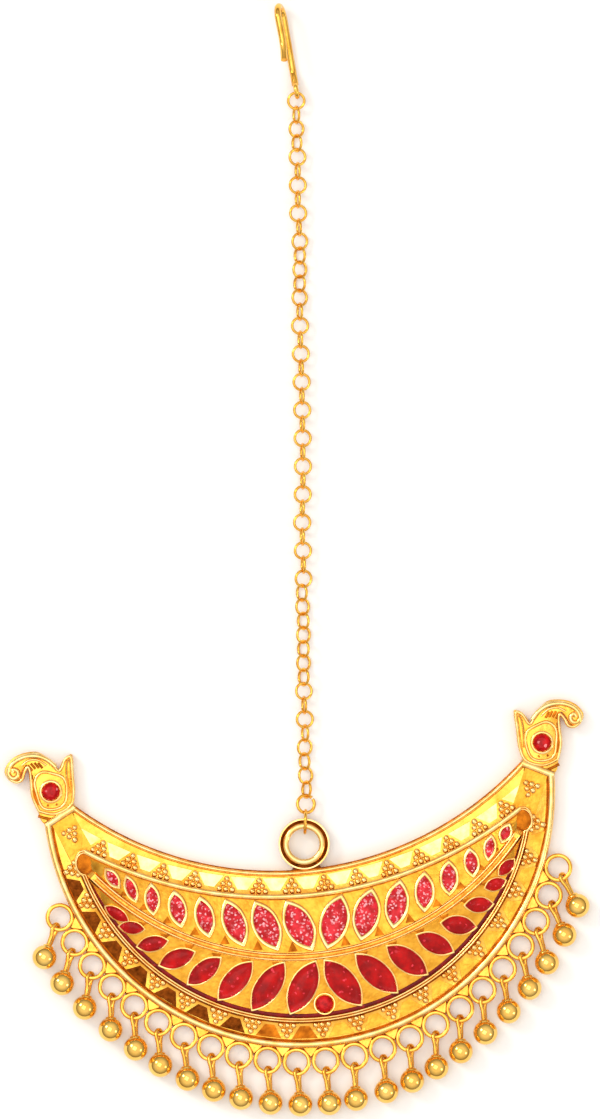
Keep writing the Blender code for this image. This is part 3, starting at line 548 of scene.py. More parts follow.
for name, (line, gap, ridge_side, rows) in TIERS.items():
    finish(name + "_tier_sheet", sheet_mesh(line, gap, ridge_side), GILT_SETTING,
           (name + "_tier",), crease=25.0)

# %% [markdown]
# A cell is a low wall with a filling inside. Both are rings of the same marquise, moved in
# and up in steps. The filling creeps up the wall a little at its edge, as lacquer does when
# it dries, and that bright line is what makes it read as poured.

# %% Walls and fillings of the cells
MARQUISE_POINTS = 36
# A higher number makes the oval fuller towards its ends
MARQUISE_FULLNESS = 2.4
MARQUISE = []
for k in range(MARQUISE_POINTS):
    turn = 2.0 * math.pi * k / MARQUISE_POINTS
    reach = math.copysign(abs(math.cos(turn)) ** 0.9, math.cos(turn))
    width = math.copysign(1.0 - abs(reach) ** MARQUISE_FULLNESS, math.sin(turn))
    # The two ends are true points
    MARQUISE.append((reach, width if k % (MARQUISE_POINTS // 2) else 0.0))


def cell_ring(line, cell, inset, lift):
    """One ring of a cell: the marquise moved in by inset, at lift above the sheet."""
    centre, axis, half_length, half_width = cell
    across = Vector((-axis.y, axis.x))
    long = max(half_length - 1.7 * inset, 0.02)
    wide = max(half_width - inset, 0.01)
    ring = []
    for along, side in MARQUISE:
        point = centre + axis * (long * along) + across * (wide * side)
        ring.append((*point, sheet_height(line, point) + lift))
    return ring


def cells_of(line, gap, ridge_side, rows):
    """Each cell's centre, axis, half length and half width, on both sides of the axis."""
    middle = middle_of(line)
    between = 0.5 if ridge_side < 0.0 else LOWER_CELL_MIDDLE
    cells = []
    for place, reach, width, lean in rows:
        for side in (-1.0, 1.0):
            share = side * place + CELL_SHIFT / (middle.radius * middle.half)
            turn = share * middle.half - side * math.radians(lean)
            axis = Vector((-math.sin(turn), math.cos(turn)))
            near = line.at(share, gap)
            far = RIDGE.at(share, ridge_side * 0.65)
            length = reach * (near - far).length / math.cos(math.radians(lean))
            cells.append((near.lerp(far, between), axis, 0.5 * length * CELL_REACH,
                          0.5 * CELL_WIDTH * width * CELL_REACH))
    return cells


def wall_of(cell, wall):
    """The wall's thickness, which is less on the small cells near the tips."""
    return wall * min(1.0, 0.45 + cell[3] / 2.5)


def wall_mesh(line, cell, wall):
    """A low wall with a rounded top."""
    steps = ((0.0, -0.1), (0.02, 0.28), (0.2 * wall, 0.42), (0.55 * wall, 0.45),
             (0.85 * wall, 0.4), (wall, 0.24), (wall, -0.1))
    return loft([cell_ring(line, cell, inset, lift) for inset, lift in steps], round_path=True)


def filling_mesh(line, cell, wall, rise):
    """A filling that creeps up its wall and rises a little in the middle."""
    _, _, _, half_width = cell
    inside = half_width - wall
    steps = ((wall - 0.03, -0.05), (wall - 0.03, 0.34), (wall + 0.1, 0.22),
             (wall + 0.45 * inside, 0.2 + 0.5 * rise), (wall + 0.75 * inside, 0.2 + rise))
    return loft([cell_ring(line, cell, inset, lift) for inset, lift in steps])


WALLS = {"upper": 0.48, "lower": 0.26}
FILLINGS = {"upper": (GLITTER_RED, "glitter_red", 0.08), "lower": (ENAMEL_RED, "enamel_red", 0.14)}
for name, (line, gap, ridge_side, rows) in TIERS.items():
    cells = cells_of(line, gap, ridge_side, rows)
    wall = WALLS[name]
    walls = joined([wall_mesh(line, cell, wall_of(cell, wall)) for cell in cells])
    finish(name + "_cell_walls", walls, GILT_HIGHLIGHT, crease=50.0)
    paint, slot, rise = FILLINGS[name]
    fillings = joined([filling_mesh(line, cell, wall_of(cell, wall), rise) for cell in cells])
    finish(name + "_fillings", fillings, paint, crease=50.0)

# %% [markdown]
# Between neighbouring cells the sheet is open against the ridge, and the ground below shows as
# a small dark triangle. A low wedge in the painted recess shade, laid on the sheet, gives the same look
# without cutting thirty holes. Its lean follows the cells' lean.

# %% Recesses along the ridge
RECESS_FROM_RIDGE = 0.68
RECESS_HALF_WIDTH = 0.62
# How deep it goes into the field, as a share of the way from the ridge to the frame
RECESS_DEPTH = 0.2
FIELD_WIDTH = 7.0
CELL_LEAN = math.radians(28.0)


def recess_mesh(line, gap, ridge_side, share):
    """A small low triangle against the ridge, between two cells."""
    foot = RIDGE.at(share, ridge_side * RECESS_FROM_RIDGE)
    apex = foot.lerp(line.at(share, gap), RECESS_DEPTH)
    way = (apex - foot).normalized()
    side = Vector((-way.y, way.x)) * RECESS_HALF_WIDTH
    rings_of = []
    for inset, lift in ((0.0, -0.1), (0.0, 0.12), (0.3, 0.15)):
        corners = [foot - side, apex, foot + side]
        centre = sum(corners, Vector((0.0, 0.0))) / 3.0
        moved = [corner.lerp(centre, inset) for corner in corners]
        rings_of.append([(*p, sheet_height(line, p) + lift) for p in moved])
    return loft(rings_of)


recesses = []
for name, (line, gap, ridge_side, rows) in TIERS.items():
    middle = middle_of(line)
    shift = CELL_SHIFT / (middle.radius * middle.half)
    places = [row[0] for row in rows[:-1]]
    nexts = [row[0] for row in rows[1:]]
    lean = 0.35 * ridge_side * math.tan(CELL_LEAN) * FIELD_WIDTH / (middle.radius * middle.half)
    for a, b in zip(places, nexts):
        for side in (-1.0, 1.0):
            share = shift + side * (0.5 * (a + b) + lean * (1.0 - b))
            recesses.append(recess_mesh(line, gap, ridge_side, share))
finish("tier_recesses", joined(recesses), GILT_RECESS_SHADE)

# %% [markdown]
# ## Granulation
# Both bands carry clusters of six grains on a low triangular pad: three grains at the frame,
# then two, then one towards the rim. Real granulation is tiny balls fused to the surface, so
# one tree sets a small ball on every point of a drawn pattern and varies its size a little
# with a fixed seed. Drawing two hundred balls by hand would give the same picture with far
# more to read.

# %% A tree that sets grains on points
GRAIN_TREE, given = new_tree("grains on points", (
    ("Grain Radius", "Float"), ("Unevenness", "Float"), ("Seed", "Int"), ("Material", "Material")))
ball = add_node(GRAIN_TREE, "GeometryNodeMeshIcoSphere", {
    "Radius": given["Grain Radius"], "Subdivisions": 2})
least = add_node(GRAIN_TREE, "ShaderNodeMath", {0: 1.0, 1: given["Unevenness"]}, operation="SUBTRACT")
# In a Random Value node, sockets 2 and 3 are the least and the most of a single number
grain_scale = add_node(GRAIN_TREE, "FunctionNodeRandomValue", {
    2: least.outputs[0], 3: 1.0, "Seed": given["Seed"]}, data_type="FLOAT")
set_on = add_node(GRAIN_TREE, "GeometryNodeInstanceOnPoints", {
    "Points": given["Geometry"], "Instance": ball.outputs["Mesh"], "Scale": grain_scale.outputs[1]})
real = add_node(GRAIN_TREE, "GeometryNodeRealizeInstances", {"Geometry": set_on.outputs["Instances"]})
painted = add_node(GRAIN_TREE, "GeometryNodeSetMaterial", {
    "Geometry": real.outputs["Geometry"], "Material": given["Material"]})
add_node(GRAIN_TREE, "NodeGroupOutput", {"Geometry": painted.outputs["Geometry"]})

# %% [markdown]
# The pads and the grounds between them are low prisms, because only their tone and their edge
# show. The upper band's grounds take the pale painted highlight all along. The lower band's
# grounds are darker on the left and golden on the right, so they take three finishes.

# %% Pads, grains and the grounds between them
FLOOR = 1.5
GRAIN = 0.42
GRAIN_SPACING = 0.8
# A cluster's rows: how far from the pad's foot, and how many grains
GRAIN_ROWS = ((0.36, 3), (1.02, 2), (1.66, 1))
PAD_CORNERS = ((-0.05, -1.4), (2.2, 0.0), (-0.05, 1.4))
GROUND_CORNERS = ((2.1, -1.75), (0.15, -0.5), (0.15, 0.5), (2.1, 1.75))
# The lower grounds, from the left: darkest up to the first number, painted recess shade up to the second
DARKEST_TO = 7
SHADED_TO = 9
# A band: how many clusters, how far they reach as a share of the half arc, its frame line, and
# the side of that line it lies on
BANDS = ((16, 1.09, FRAME_TOP, -1.0), (19, 1.03, FRAME_LOW, 1.0))


def band_place(line, share, away, along, across):
    """A point on a band: along from the frame towards the rim, across beside the pad's axis."""
    foot = line.at(share, away * 0.54)
    apex = line.at(share, away * 2.29)
    way = (apex - foot).normalized()
    return foot + way * along + Vector((-way.y, way.x)) * across


def prism(corners, bottom, top, shrink=0.82):
    """A low pad with sloping sides on three or four corners."""
    centre = sum(corners, Vector((0.0, 0.0))) / len(corners)
    inner = [centre.lerp(corner, shrink) for corner in corners]
    return loft([[(*p, bottom) for p in corners], [(*p, top) for p in inner]])


pads = []
hollows = []
grains = []
for count, span, line, away in BANDS:
    step = 2.0 * span / (count - 1)
    for i in range(count):
        share = span * (-1.0 + 2.0 * i / (count - 1))
        corners = [band_place(line, share, away, along, across)
                   for along, across in PAD_CORNERS]
        pads.append(prism(corners, FLOOR - 0.2, FLOOR + 0.22))
        for along, row in GRAIN_ROWS:
            for k in range(row):
                across = GRAIN_SPACING * (k - 0.5 * (row - 1))
                grains.append((*band_place(line, share, away, along, across), FLOOR + 0.42))
        if i < count - 1:
            between = share + 0.5 * step
            corners = [band_place(line, between, away, along, across)
                       for along, across in GROUND_CORNERS]
            hollows.append(prism(corners, FLOOR - 0.2, FLOOR + 0.12, 0.9))
grain_mesh = run_tree(GRAIN_TREE, mesh_from(grains, ()), {
    "Grain Radius": GRAIN, "Unevenness": 0.14, "Seed": 7, "Material": GILT_HIGHLIGHT})
finish("granulation", grain_mesh, GILT_HIGHLIGHT, crease=180.0)
finish("upper_pads", joined(pads[:BANDS[0][0]]), GILT_CAST)
finish("lower_pads", joined(pads[BANDS[0][0]:]), GILT_WARM)
upper_hollows = BANDS[0][0] - 1
finish("plain_grounds", joined(hollows[:upper_hollows]), GILT_HIGHLIGHT)
lower_grounds = hollows[upper_hollows:]
finish("worn_grounds", joined(lower_grounds[:DARKEST_TO]), GILT_DARK)
finish("burnt_grounds", joined(lower_grounds[DARKEST_TO:SHADED_TO]), GILT_RECESS_SHADE)
finish("golden_grounds", joined(lower_grounds[SHADED_TO:]), GILT_SETTING)
print("grains:", len(grains))

# %% [markdown]
# ## The necks
# The lofted body and the flat plate of each head are separate meshes, and their faces don't
# meet cleanly at the neck. A thin cover on the ground and a bar across the end close that
# joint. They are there for the model's sake: the photograph doesn't show such a bar.

# %% Covers and bars at the necks
neck_covers = []
for side in (-1.0, 1.0):
    corners = [HORN_INNER.lerp(HORN_OUTER, 0.16), FRAME_TOP.at(0.96, -0.75), FRAME_LOW.at(0.97, 0.8),
               HORN_INNER.lerp(HORN_OUTER, 0.82)]
    neck_covers.append(prism([Vector((side * p.x, p.y)) for p in corners], 1.3, 1.68, 0.97))
finish("neck_covers", joined(neck_covers), GILT_SETTING)
neck_bars = []
for side in (-1.0, 1.0):
    bar = [HORN_INNER.lerp(HORN_OUTER, share) for share in (0.04, 0.5, 0.96)]
    neck_bars.append(wires([[(side * p.x, p.y, 1.5) for p in bar]], 1.0, 0.8, GILT_HIGHLIGHT, sides=12))
finish("neck_bars", joined(neck_bars), GILT_HIGHLIGHT)

# %% [markdown]
# ## Rings: cast loops, bail and links
# The fringe hangs from twenty-three flat loops cast in one with the rim, and the chain is
# round wire. All are rings with a band that is broad or round, so one tree draws a ring with
# a filleted section and sets it on points. Each point carries its own turn as an attribute,
# which is how the links of a chain get their quarter turns.

# %% A tree that sets rings on points
RING_TREE, given = new_tree("rings on points", (
    ("Ring Radius", "Float"), ("Band Width", "Float"), ("Band Height", "Float"),
    ("Corner", "Float"), ("Steps", "Int"), ("Material", "Material")))
ring_line = add_node(RING_TREE, "GeometryNodeCurvePrimitiveCircle", {
    "Resolution": given["Steps"], "Radius": given["Ring Radius"]})
square = add_node(RING_TREE, "GeometryNodeCurvePrimitiveQuadrilateral", {
    "Width": given["Band Width"], "Height": given["Band Height"]})
soft = add_node(RING_TREE, "GeometryNodeFilletCurve", {
    "Curve": square.outputs["Curve"], "Count": 3, "Radius": given["Corner"]}, mode="POLY")
ring_body = add_node(RING_TREE, "GeometryNodeCurveToMesh", {
    "Curve": ring_line.outputs["Curve"], "Profile Curve": soft.outputs["Curve"]})
turn_of = add_node(RING_TREE, "GeometryNodeInputNamedAttribute", {"Name": "turn"},
                   data_type="FLOAT_VECTOR")
set_on = add_node(RING_TREE, "GeometryNodeInstanceOnPoints", {
    "Points": given["Geometry"], "Instance": ring_body.outputs["Mesh"],
    "Rotation": turn_of.outputs["Attribute"]})
real = add_node(RING_TREE, "GeometryNodeRealizeInstances", {"Geometry": set_on.outputs["Instances"]})
painted = add_node(RING_TREE, "GeometryNodeSetMaterial", {
    "Geometry": real.outputs["Geometry"], "Material": given["Material"]})
add_node(RING_TREE, "NodeGroupOutput", {"Geometry": painted.outputs["Geometry"]})


def turned_points(places):
    """A mesh of points, each with its turn as an attribute; a place is a matrix."""
    mesh = mesh_from([place.translation for place in places], ())
    turns = mesh.attributes.new("turn", "FLOAT_VECTOR", "POINT")
    for item, place in zip(turns.data, places):
        item.vector = place.to_euler()
    return mesh


def rings(places, radius, width, height, corner, steps, material):
    return tidy(run_tree(RING_TREE, turned_points(places), {
        "Ring Radius": radius, "Band Width": width, "Band Height": height,
        "Corner": corner, "Steps": steps, "Material": material}))


# %% Cast loops and the webs between them
LOOPS = 23
LOOP_SPAN = math.radians(68.0)
LOOP_OUTER = 1.75
LOOP_HOLE = 1.32
loop_turns = [-LOOP_SPAN + 2.0 * LOOP_SPAN * i / (LOOPS - 1) for i in range(LOOPS)]
loop_places = [CONVEX.at(turn / CONVEX.half, LOOP_OUTER) for turn in loop_turns]
loop_matrices = [Matrix.Translation((*place, 0.875)) for place in loop_places]
loops = rings(loop_matrices, 0.5 * (LOOP_OUTER + LOOP_HOLE), LOOP_OUTER - LOOP_HOLE + 0.1, 0.75,
              0.2, 40, GILT_WIRE)
finish("cast_loops", loops, GILT_WIRE, crease=60.0)
webs = []
for first, last in zip(loop_turns, loop_turns[1:]):
    turn = 0.5 * (first + last)
    foot = CONVEX.at(turn / CONVEX.half, -0.1)
    apex = CONVEX.at(turn / CONVEX.half, 1.35)
    way = (apex - foot).normalized()
    side = Vector((-way.y, way.x))
    webs.append(prism([foot - side * 1.15, apex, foot + side * 1.15], 0.55, 1.25, 0.75))
finish("webs", joined(webs), GILT_CAST)
print("loops:", LOOPS, "webs:", len(webs))

# %% [markdown]
# The bail ring is a turned shape: a thin outer lip, a deep groove painted dark as shade, and a
# broad inner lip in the pale painted highlight. A section carried round a circle draws each of the three, so
# the groove can have its own finish.

# %% The bail ring
BAIL = Vector((0.0, 4.95))


def turned(section, centre, steps=72):
    """A closed section of (radius, height) points carried round a centre."""
    rings_of = []
    for i in range(steps):
        turn = 2.0 * math.pi * i / steps
        rings_of.append([(centre.x + r * math.cos(turn), centre.y + r * math.sin(turn), z)
                         for r, z in section])
    return loft(rings_of, round_path=True)


lips = [
    turned(((3.2, 0.98), (3.2, 1.74), (3.15, 1.84), (3.0, 1.84), (2.94, 1.74), (2.94, 0.98)), BAIL),
    turned(((2.62, 0.98), (2.62, 1.7), (2.52, 1.86), (2.25, 1.92), (2.02, 1.86), (1.9, 1.7),
            (1.9, 0.98)), BAIL),
]
finish("bail_ring", joined(lips), GILT_HIGHLIGHT, crease=50.0)
groove = turned(((3.0, 1.0), (3.0, 1.42), (2.8, 1.34), (2.58, 1.42), (2.58, 1.0)), BAIL)
solder_corners = ((-2.3, 1.2), (2.3, 1.2), (1.4, 2.5), (-1.4, 2.5))
solder = prism([Vector(corner) for corner in solder_corners], 0.98, 1.6, 0.8)
finish("bail_groove", joined([groove, solder]), GILT_DARK)

# %% [markdown]
# ## Bird heads
# Each horn ends in a small bird's head: a crest that arches outwards to a curl, an ear strip
# on the inner side, a raised U round a smooth field, and a stone in a collet. The casting is
# shallow relief, so a flat plate with wires laid on it gives the same read as carving, and a
# smooth line through a few measured points gives each wire its course.

# %% Smooth lines through measured points
def smooth_line(points, steps=6, closed=False):
    """A Catmull-Rom line through the points."""
    points = [Vector(point) for point in points]
    count = len(points)
    made = []
    for i in range(count if closed else count - 1):
        if closed:
            a, b, c, d = (points[(i + k) % count] for k in (-1, 0, 1, 2))
        else:
            a, b, c, d = (points[min(max(i + k, 0), count - 1)] for k in (-1, 0, 1, 2))
        for step in range(steps):
            t = step / steps
            made.append(0.5 * (2.0 * b + (c - a) * t + (2.0 * a - 5.0 * b + 4.0 * c - d) * t ** 2
                               + (3.0 * b - a - 3.0 * c + d) * t ** 3))
    if not closed:
        made.append(points[-1])
    return made


HEAD = Vector((30.8, 14.6))
HEAD_OUTLINE = (
    (1.05, -4.0), (1.92, -2.14), (2.48, -0.31), (2.48, 1.55), (2.5, 2.9), (2.75, 3.55), (3.3, 2.85),
    (3.72, 1.92), (4.5, 1.7), (5.33, 2.29), (5.46, 3.29), (4.53, 4.46), (3.04, 5.08), (1.12, 5.05),
    (-0.43, 3.72), (-1.36, 2.6), (-2.23, 3.97), (-3.1, 4.25), (-3.05, 1.8), (-2.98, -0.46),
    (-2.36, -2.23), (-2.54, -3.53))
HEAD_RIM = HEAD_OUTLINE[1:-2] + ((-2.3, -2.2), (-0.21, -3.0), (1.6, -2.5))
FIELD_RIM = ((1.24, -1.85), (1.8, 0.0), (1.85, 1.6), (0.9, 2.5), (-0.5, 2.2), (-1.75, 1.5),
             (-2.0, 0.0), (-1.5, -1.7), (-0.2, -2.25))
CREST = ((-0.9, 3.0), (0.1, 4.0), (1.4, 4.6), (3.0, 4.6), (4.4, 3.95), (5.05, 2.9), (4.7, 2.15),
         (4.05, 2.2), (3.85, 2.85), (4.35, 3.2), (4.6, 2.8))
INNER_CREST = ((0.2, 3.3), (1.2, 4.05), (2.4, 4.15), (3.3, 3.6))
EAR = ((-2.6, -1.2), (-2.7, 1.4), (-2.75, 3.7), (-2.3, 3.2), (-2.15, 1.6), (-2.3, -0.4))


def head_line(points, side, height, steps=6, closed=False):
    return [(side * (HEAD.x + p.x), HEAD.y + p.y, height)
            for p in smooth_line(points, steps, closed)]


def shrunk(points, share):
    """An outline drawn in a little towards the middle of the head."""
    return [(x * share, y * share) for x, y in points]


plates = []
bright = []
dark = []
for side in (-1.0, 1.0):
    plates.append(plate(head_line(HEAD_OUTLINE, side, 0.0, closed=True), 0.0, 1.5, 0.12))
    # The relief wires take the pale painted highlight
    bright.append(wires([head_line(shrunk(HEAD_RIM, 0.94), side, 1.52, closed=True)], 0.42, 0.6,
                        GILT_HIGHLIGHT, closed=True))
    bright.append(wires([head_line(FIELD_RIM, side, 1.52, closed=True)], 0.42, 0.56, GILT_HIGHLIGHT, closed=True))
    bright.append(wires([head_line(CREST, side, 1.6)], 0.62, 0.7, GILT_HIGHLIGHT))
    bright.append(wires([head_line(INNER_CREST, side, 1.52)], 0.3, 0.4, GILT_HIGHLIGHT, sides=8))
    bright.append(wires([head_line(EAR, side, 1.55)], 0.3, 0.5, GILT_HIGHLIGHT, sides=8))
    # The dark strokes are painted shade in the grooves of the carving
    hatch = [[(side * (HEAD.x + x), HEAD.y + y, 1.48),
              (side * (HEAD.x + x + 0.5), HEAD.y + y + 0.75, 1.48)]
             for x, y in ((0.75, 3.0), (1.2, 3.05), (1.65, 3.0), (2.05, 2.8))]
    dark.append(wires(hatch, 0.34, 0.3, GILT_RECESS_SHADE, sides=8))
    cheek = ((2.2, 2.3), (2.2, 1.2), (2.15, 0.2), (1.75, -1.5))
    dark.append(wires([head_line(cheek, side, 1.5)], 0.36, 0.34, GILT_RECESS_SHADE, sides=8))
    pits = [[(side * (HEAD.x + x), HEAD.y - 1.75, 1.5), (side * (HEAD.x + x + 0.2), HEAD.y - 1.62, 1.5)]
            for x in (-0.65, 0.45)]
    dark.append(wires(pits, 0.3, 0.2, GILT_RECESS_SHADE, sides=8))
    under = ((-2.6, -2.75), (-0.21, -3.5), (1.9, -2.9))
    dark.append(wires([head_line(under, side, 1.55)], 0.36, 0.3, GILT_RECESS_SHADE, sides=8))
finish("head_plates", joined(plates), GILT_CAST)
finish("head_relief", joined(bright), GILT_HIGHLIGHT, crease=60.0)
finish("head_recesses", joined(dark), GILT_RECESS_SHADE, crease=60.0)

# %% [markdown]
# ## Stones in their collets
# Three round red stones are set in plain collets, one in each head and one at the middle of
# the lower tier. A cheap stone is pressed with a low crown, so it is turned: girdle, crown
# and a slightly domed table, in twelve flats that are kept sharp.

# %% Collets and stones
def stone_mesh(centre, radius, floor, girdle, crown, sides=12):
    rows = ((0.96, 0.0), (1.0, 0.1), (1.0, girdle), (0.82, girdle + 0.55 * crown),
            (0.58, girdle + crown), (0.3, girdle + crown + 0.03))
    rings_of = []
    for share, height in rows:
        rings_of.append([(centre.x + share * radius * math.cos(2.0 * math.pi * i / sides),
                          centre.y + share * radius * math.sin(2.0 * math.pi * i / sides),
                          floor + height) for i in range(sides)])
    return loft(rings_of)


def collet_mesh(centre, hole, wall, floor, top):
    section = ((hole + wall, floor), (hole + wall, top - 0.1), (hole + 0.7 * wall, top),
               (hole + 0.2 * wall, top), (hole, top - 0.12), (hole, floor))
    return turned(section, centre, 48)


CENTRE = FRAME_LOW.at(CELL_SHIFT / (FRAME_LOW.radius * FRAME_LOW.half), -1.65)
collets = [collet_mesh(CENTRE, 1.16, 0.24, 2.2, 2.86)]
centre_stone = stone_mesh(CENTRE, 1.12, 2.3, 0.3, 0.35)
finish("centre_stone_dressed", centre_stone, STONE_RED, ("centre_stone",), crease=12.0)
for name, side in (("left", -1.0), ("right", 1.0)):
    centre = Vector((side * HEAD.x, HEAD.y))
    collets.append(collet_mesh(centre, 1.14, 0.34, 1.4, 2.12))
    stone = stone_mesh(centre, 1.12, 1.5, 0.5, 0.45)
    finish("head_stone_dressed_" + name, stone, STONE_RED, ("head_stone_" + name,),
           crease=12.0)
finish("collets", joined(collets), GILT_HIGHLIGHT, crease=50.0)

# %% [markdown]
# ## The fringe
# Each drop is a hollow bead on a folded wire loop. The wire goes over the band of its cast
# loop, through the hole, back under it and into the bead. One bead and one wire are drawn and
# a tree sets them on twenty-three points that carry their swing, since every drop lies a
# little differently.

# %% A tree that sets a drawn shape on points
DROP_TREE, given = new_tree("shape on points", (("Shape", "Object"), ("Material", "Material")))
drawn = add_node(DROP_TREE, "GeometryNodeObjectInfo", {"Object": given["Shape"]})
turn_of = add_node(DROP_TREE, "GeometryNodeInputNamedAttribute", {"Name": "turn"},
                   data_type="FLOAT_VECTOR")
set_on = add_node(DROP_TREE, "GeometryNodeInstanceOnPoints", {
    "Points": given["Geometry"], "Instance": drawn.outputs["Geometry"],
    "Rotation": turn_of.outputs["Attribute"]})
real = add_node(DROP_TREE, "GeometryNodeRealizeInstances", {"Geometry": set_on.outputs["Instances"]})
painted = add_node(DROP_TREE, "GeometryNodeSetMaterial", {
    "Geometry": real.outputs["Geometry"], "Material": given["Material"]})
add_node(DROP_TREE, "NodeGroupOutput", {"Geometry": painted.outputs["Geometry"]})


def set_shape(mesh, places, material):
    shape = bpy.data.objects.new("shape", mesh)
    bpy.context.scene.collection.objects.link(shape)
    made = run_tree(DROP_TREE, turned_points(places), {"Shape": shape, "Material": material})
    bpy.data.objects.remove(shape)
    return made


# %% Beads and their wire loops
BEAD_RADIUS = 1.525
BEAD_REACH = 5.3
SWING = (-21, -17, -10, -2, 2, 3, 5, 4, 3, 4, 5, 5, 2, 5, 3, 1, 1, 4, 8, 12, 15, 22, 27)
bead_rows = [math.pi * i / 20.0 for i in range(1, 20)]
bead_rings = [[(BEAD_REACH - BEAD_RADIUS * math.cos(row),
                BEAD_RADIUS * math.sin(row) * math.cos(2.0 * math.pi * k / 32),
                BEAD_RADIUS + BEAD_RADIUS * math.sin(row) * math.sin(2.0 * math.pi * k / 32))
               for k in range(32)] for row in bead_rows]
collar_rings = [[(BEAD_REACH - x, r * math.cos(2.0 * math.pi * k / 16),
                  BEAD_RADIUS + r * math.sin(2.0 * math.pi * k / 16)) for k in range(16)]
                for x, r in ((1.3, 0.72), (1.5, 0.66), (1.62, 0.5), (1.64, 0.3))]
bead = joined([loft(bead_rings), loft(collar_rings)])
wire_path = smooth_line((
    (BEAD_REACH - 0.8 * BEAD_RADIUS, -0.12, 1.42), (3.3, -0.14, 1.5), (2.5, -0.18, 1.52), (1.6, -0.34, 1.5),
    (1.0, -0.2, 1.2), (0.96, 0.15, 0.6), (1.4, 0.3, 0.26), (2.25, 0.14, 0.25), (3.2, 0.12, 0.6),
    (BEAD_REACH - 0.8 * BEAD_RADIUS, 0.1, 1.2)), 5)
drop_wire = wires([wire_path], 0.5, 0.5, GILT_WIRE, sides=8)
swings = [Matrix.Rotation(math.radians(swing - 90.0), 4, "Z") for swing in SWING]
drop_places = [Matrix.Translation(LAY @ Vector((*place, 0.0))) @ swing
               for place, swing in zip(loop_places, swings)]
drop_nodes = ["drop_%02d" % (i + 1) for i in range(LOOPS)]
beads = set_shape(bead, drop_places, GILT_BEAD)
finish("beads", beads, GILT_BEAD, drop_nodes, lay=False, crease=60.0)
bead_wires = set_shape(drop_wire, drop_places, GILT_WIRE)
finish("bead_wires", bead_wires, GILT_WIRE, lay=False, crease=60.0)

# %% [markdown]
# ## The chain
# The chain starts with a jump ring through the bail and a second one face on, and goes on
# with fifty small round links. Neighbouring links stand a quarter turn apart, and the whole
# chain rolls a little on the table, so some links show as rings and others as two strands.
# Its route is a smooth curve through measured points, the same that the CAD chain follows.

# %% The chain's route and its roll
CHAIN_ROUTE = (
    (0.0, 0.0), (0.08, 2.2), (0.16, 4.1), (-0.10, 7.7), (-0.02, 11.3), (-0.14, 14.8),
    (-0.22, 19.7), (-0.25, 25.2), (-0.42, 28.7), (-0.22, 30.5), (-0.39, 37.3), (-0.29, 42.7),
    (-0.41, 52.7), (-0.69, 63.8), (-0.69, 72.6), (-0.89, 75.9), (-0.97, 82.7), (-1.09, 86.2),
    (-1.14, 91.2), (-1.2, 98.0))
CHAIN_ROLL = ((0.0, 0.0), (0.05, 38.0), (0.10, 35.0), (0.13, 12.0), (0.17, 12.0), (0.20, 40.0),
              (0.31, 40.0), (0.34, 10.0), (0.70, 12.0), (0.74, 40.0), (0.79, 38.0), (0.82, 12.0),
              (0.92, 14.0), (0.95, 40.0), (0.98, 20.0), (1.0, 0.0))
LINK_RADIUS = 1.0025
LINK_WIRE = 0.175
JUMP_SIZES = ((1.42, 0.2), (1.09, 0.21))
CHAIN_START = Vector((-0.34, 7.5 * math.cos(math.radians(5.7)) + 0.25))


def roll_at(share):
    for (start, low), (end, high) in zip(CHAIN_ROLL, CHAIN_ROLL[1:]):
        if share <= end:
            return math.radians(low + (high - low) * (share - start) / (end - start))
    return 0.0


def route_at(along):
    """The sideways place of the chain at a distance from its start, as a smooth curve."""
    k = 0
    while k < len(CHAIN_ROUTE) - 2 and CHAIN_ROUTE[k + 1][1] < along:
        k += 1
    (x0, y0), (x1, y1) = CHAIN_ROUTE[k], CHAIN_ROUTE[k + 1]
    xa, ya = CHAIN_ROUTE[max(k - 1, 0)]
    xb, yb = CHAIN_ROUTE[min(k + 2, len(CHAIN_ROUTE) - 1)]
    t = (along - y0) / (y1 - y0)
    slope0 = (x1 - xa) / (y1 - ya) * (y1 - y0)
    slope1 = (xb - x0) / (yb - y0) * (y1 - y0)
    return ((2 * t ** 3 - 3 * t ** 2 + 1) * x0 + (t ** 3 - 2 * t ** 2 + t) * slope0
            + (-2 * t ** 3 + 3 * t ** 2) * x1 + (t ** 3 - t ** 2) * slope1)


sizes = list(JUMP_SIZES) + [(LINK_RADIUS, LINK_WIRE)] * 50
centres = []
rolls = []
along = 0.0
for i, (radius, thick) in enumerate(sizes):
    if i:
        along += radius + sizes[i - 1][0] - (thick + sizes[i - 1][1] - 0.1)
    base = roll_at(i / (len(sizes) - 1))
    height = LINK_WIRE + LINK_RADIUS * max(abs(math.sin(base)), abs(math.cos(base)))
    if i == 0:
        height = sum(JUMP_SIZES[0])
    if i == 1:
        height = LINK_WIRE + LINK_RADIUS + 0.15
    centres.append(Vector((CHAIN_START.x + route_at(along), CHAIN_START.y + along, height)))
    rolls.append(base + (0.5 * math.pi if i % 2 == 0 else 0.0))
print("the chain is", round(along, 1), "mm long between its end links")


# %% Setting the links
def link_place(i):
    ahead = (centres[min(i + 1, len(centres) - 1)] - centres[max(i - 1, 0)]).normalized()
    side = Vector((0.0, 0.0, 1.0)).cross(ahead).normalized()
    across = side * math.cos(rolls[i]) + ahead.cross(side) * math.sin(rolls[i])
    turn = Matrix((ahead, across, ahead.cross(across))).transposed().to_4x4()
    return Matrix.Translation(centres[i]) @ turn


links = [rings([link_place(i) for i in range(2, len(centres))], LINK_RADIUS, 2.0 * LINK_WIRE,
               2.0 * LINK_WIRE, 0.98 * LINK_WIRE, 28, GILT_WIRE)]
jump_radius, jump_wire = JUMP_SIZES[0]
links.append(rings([link_place(0)], jump_radius, 2.0 * jump_wire, 2.0 * jump_wire,
                   0.98 * jump_wire, 36, GILT_WIRE))
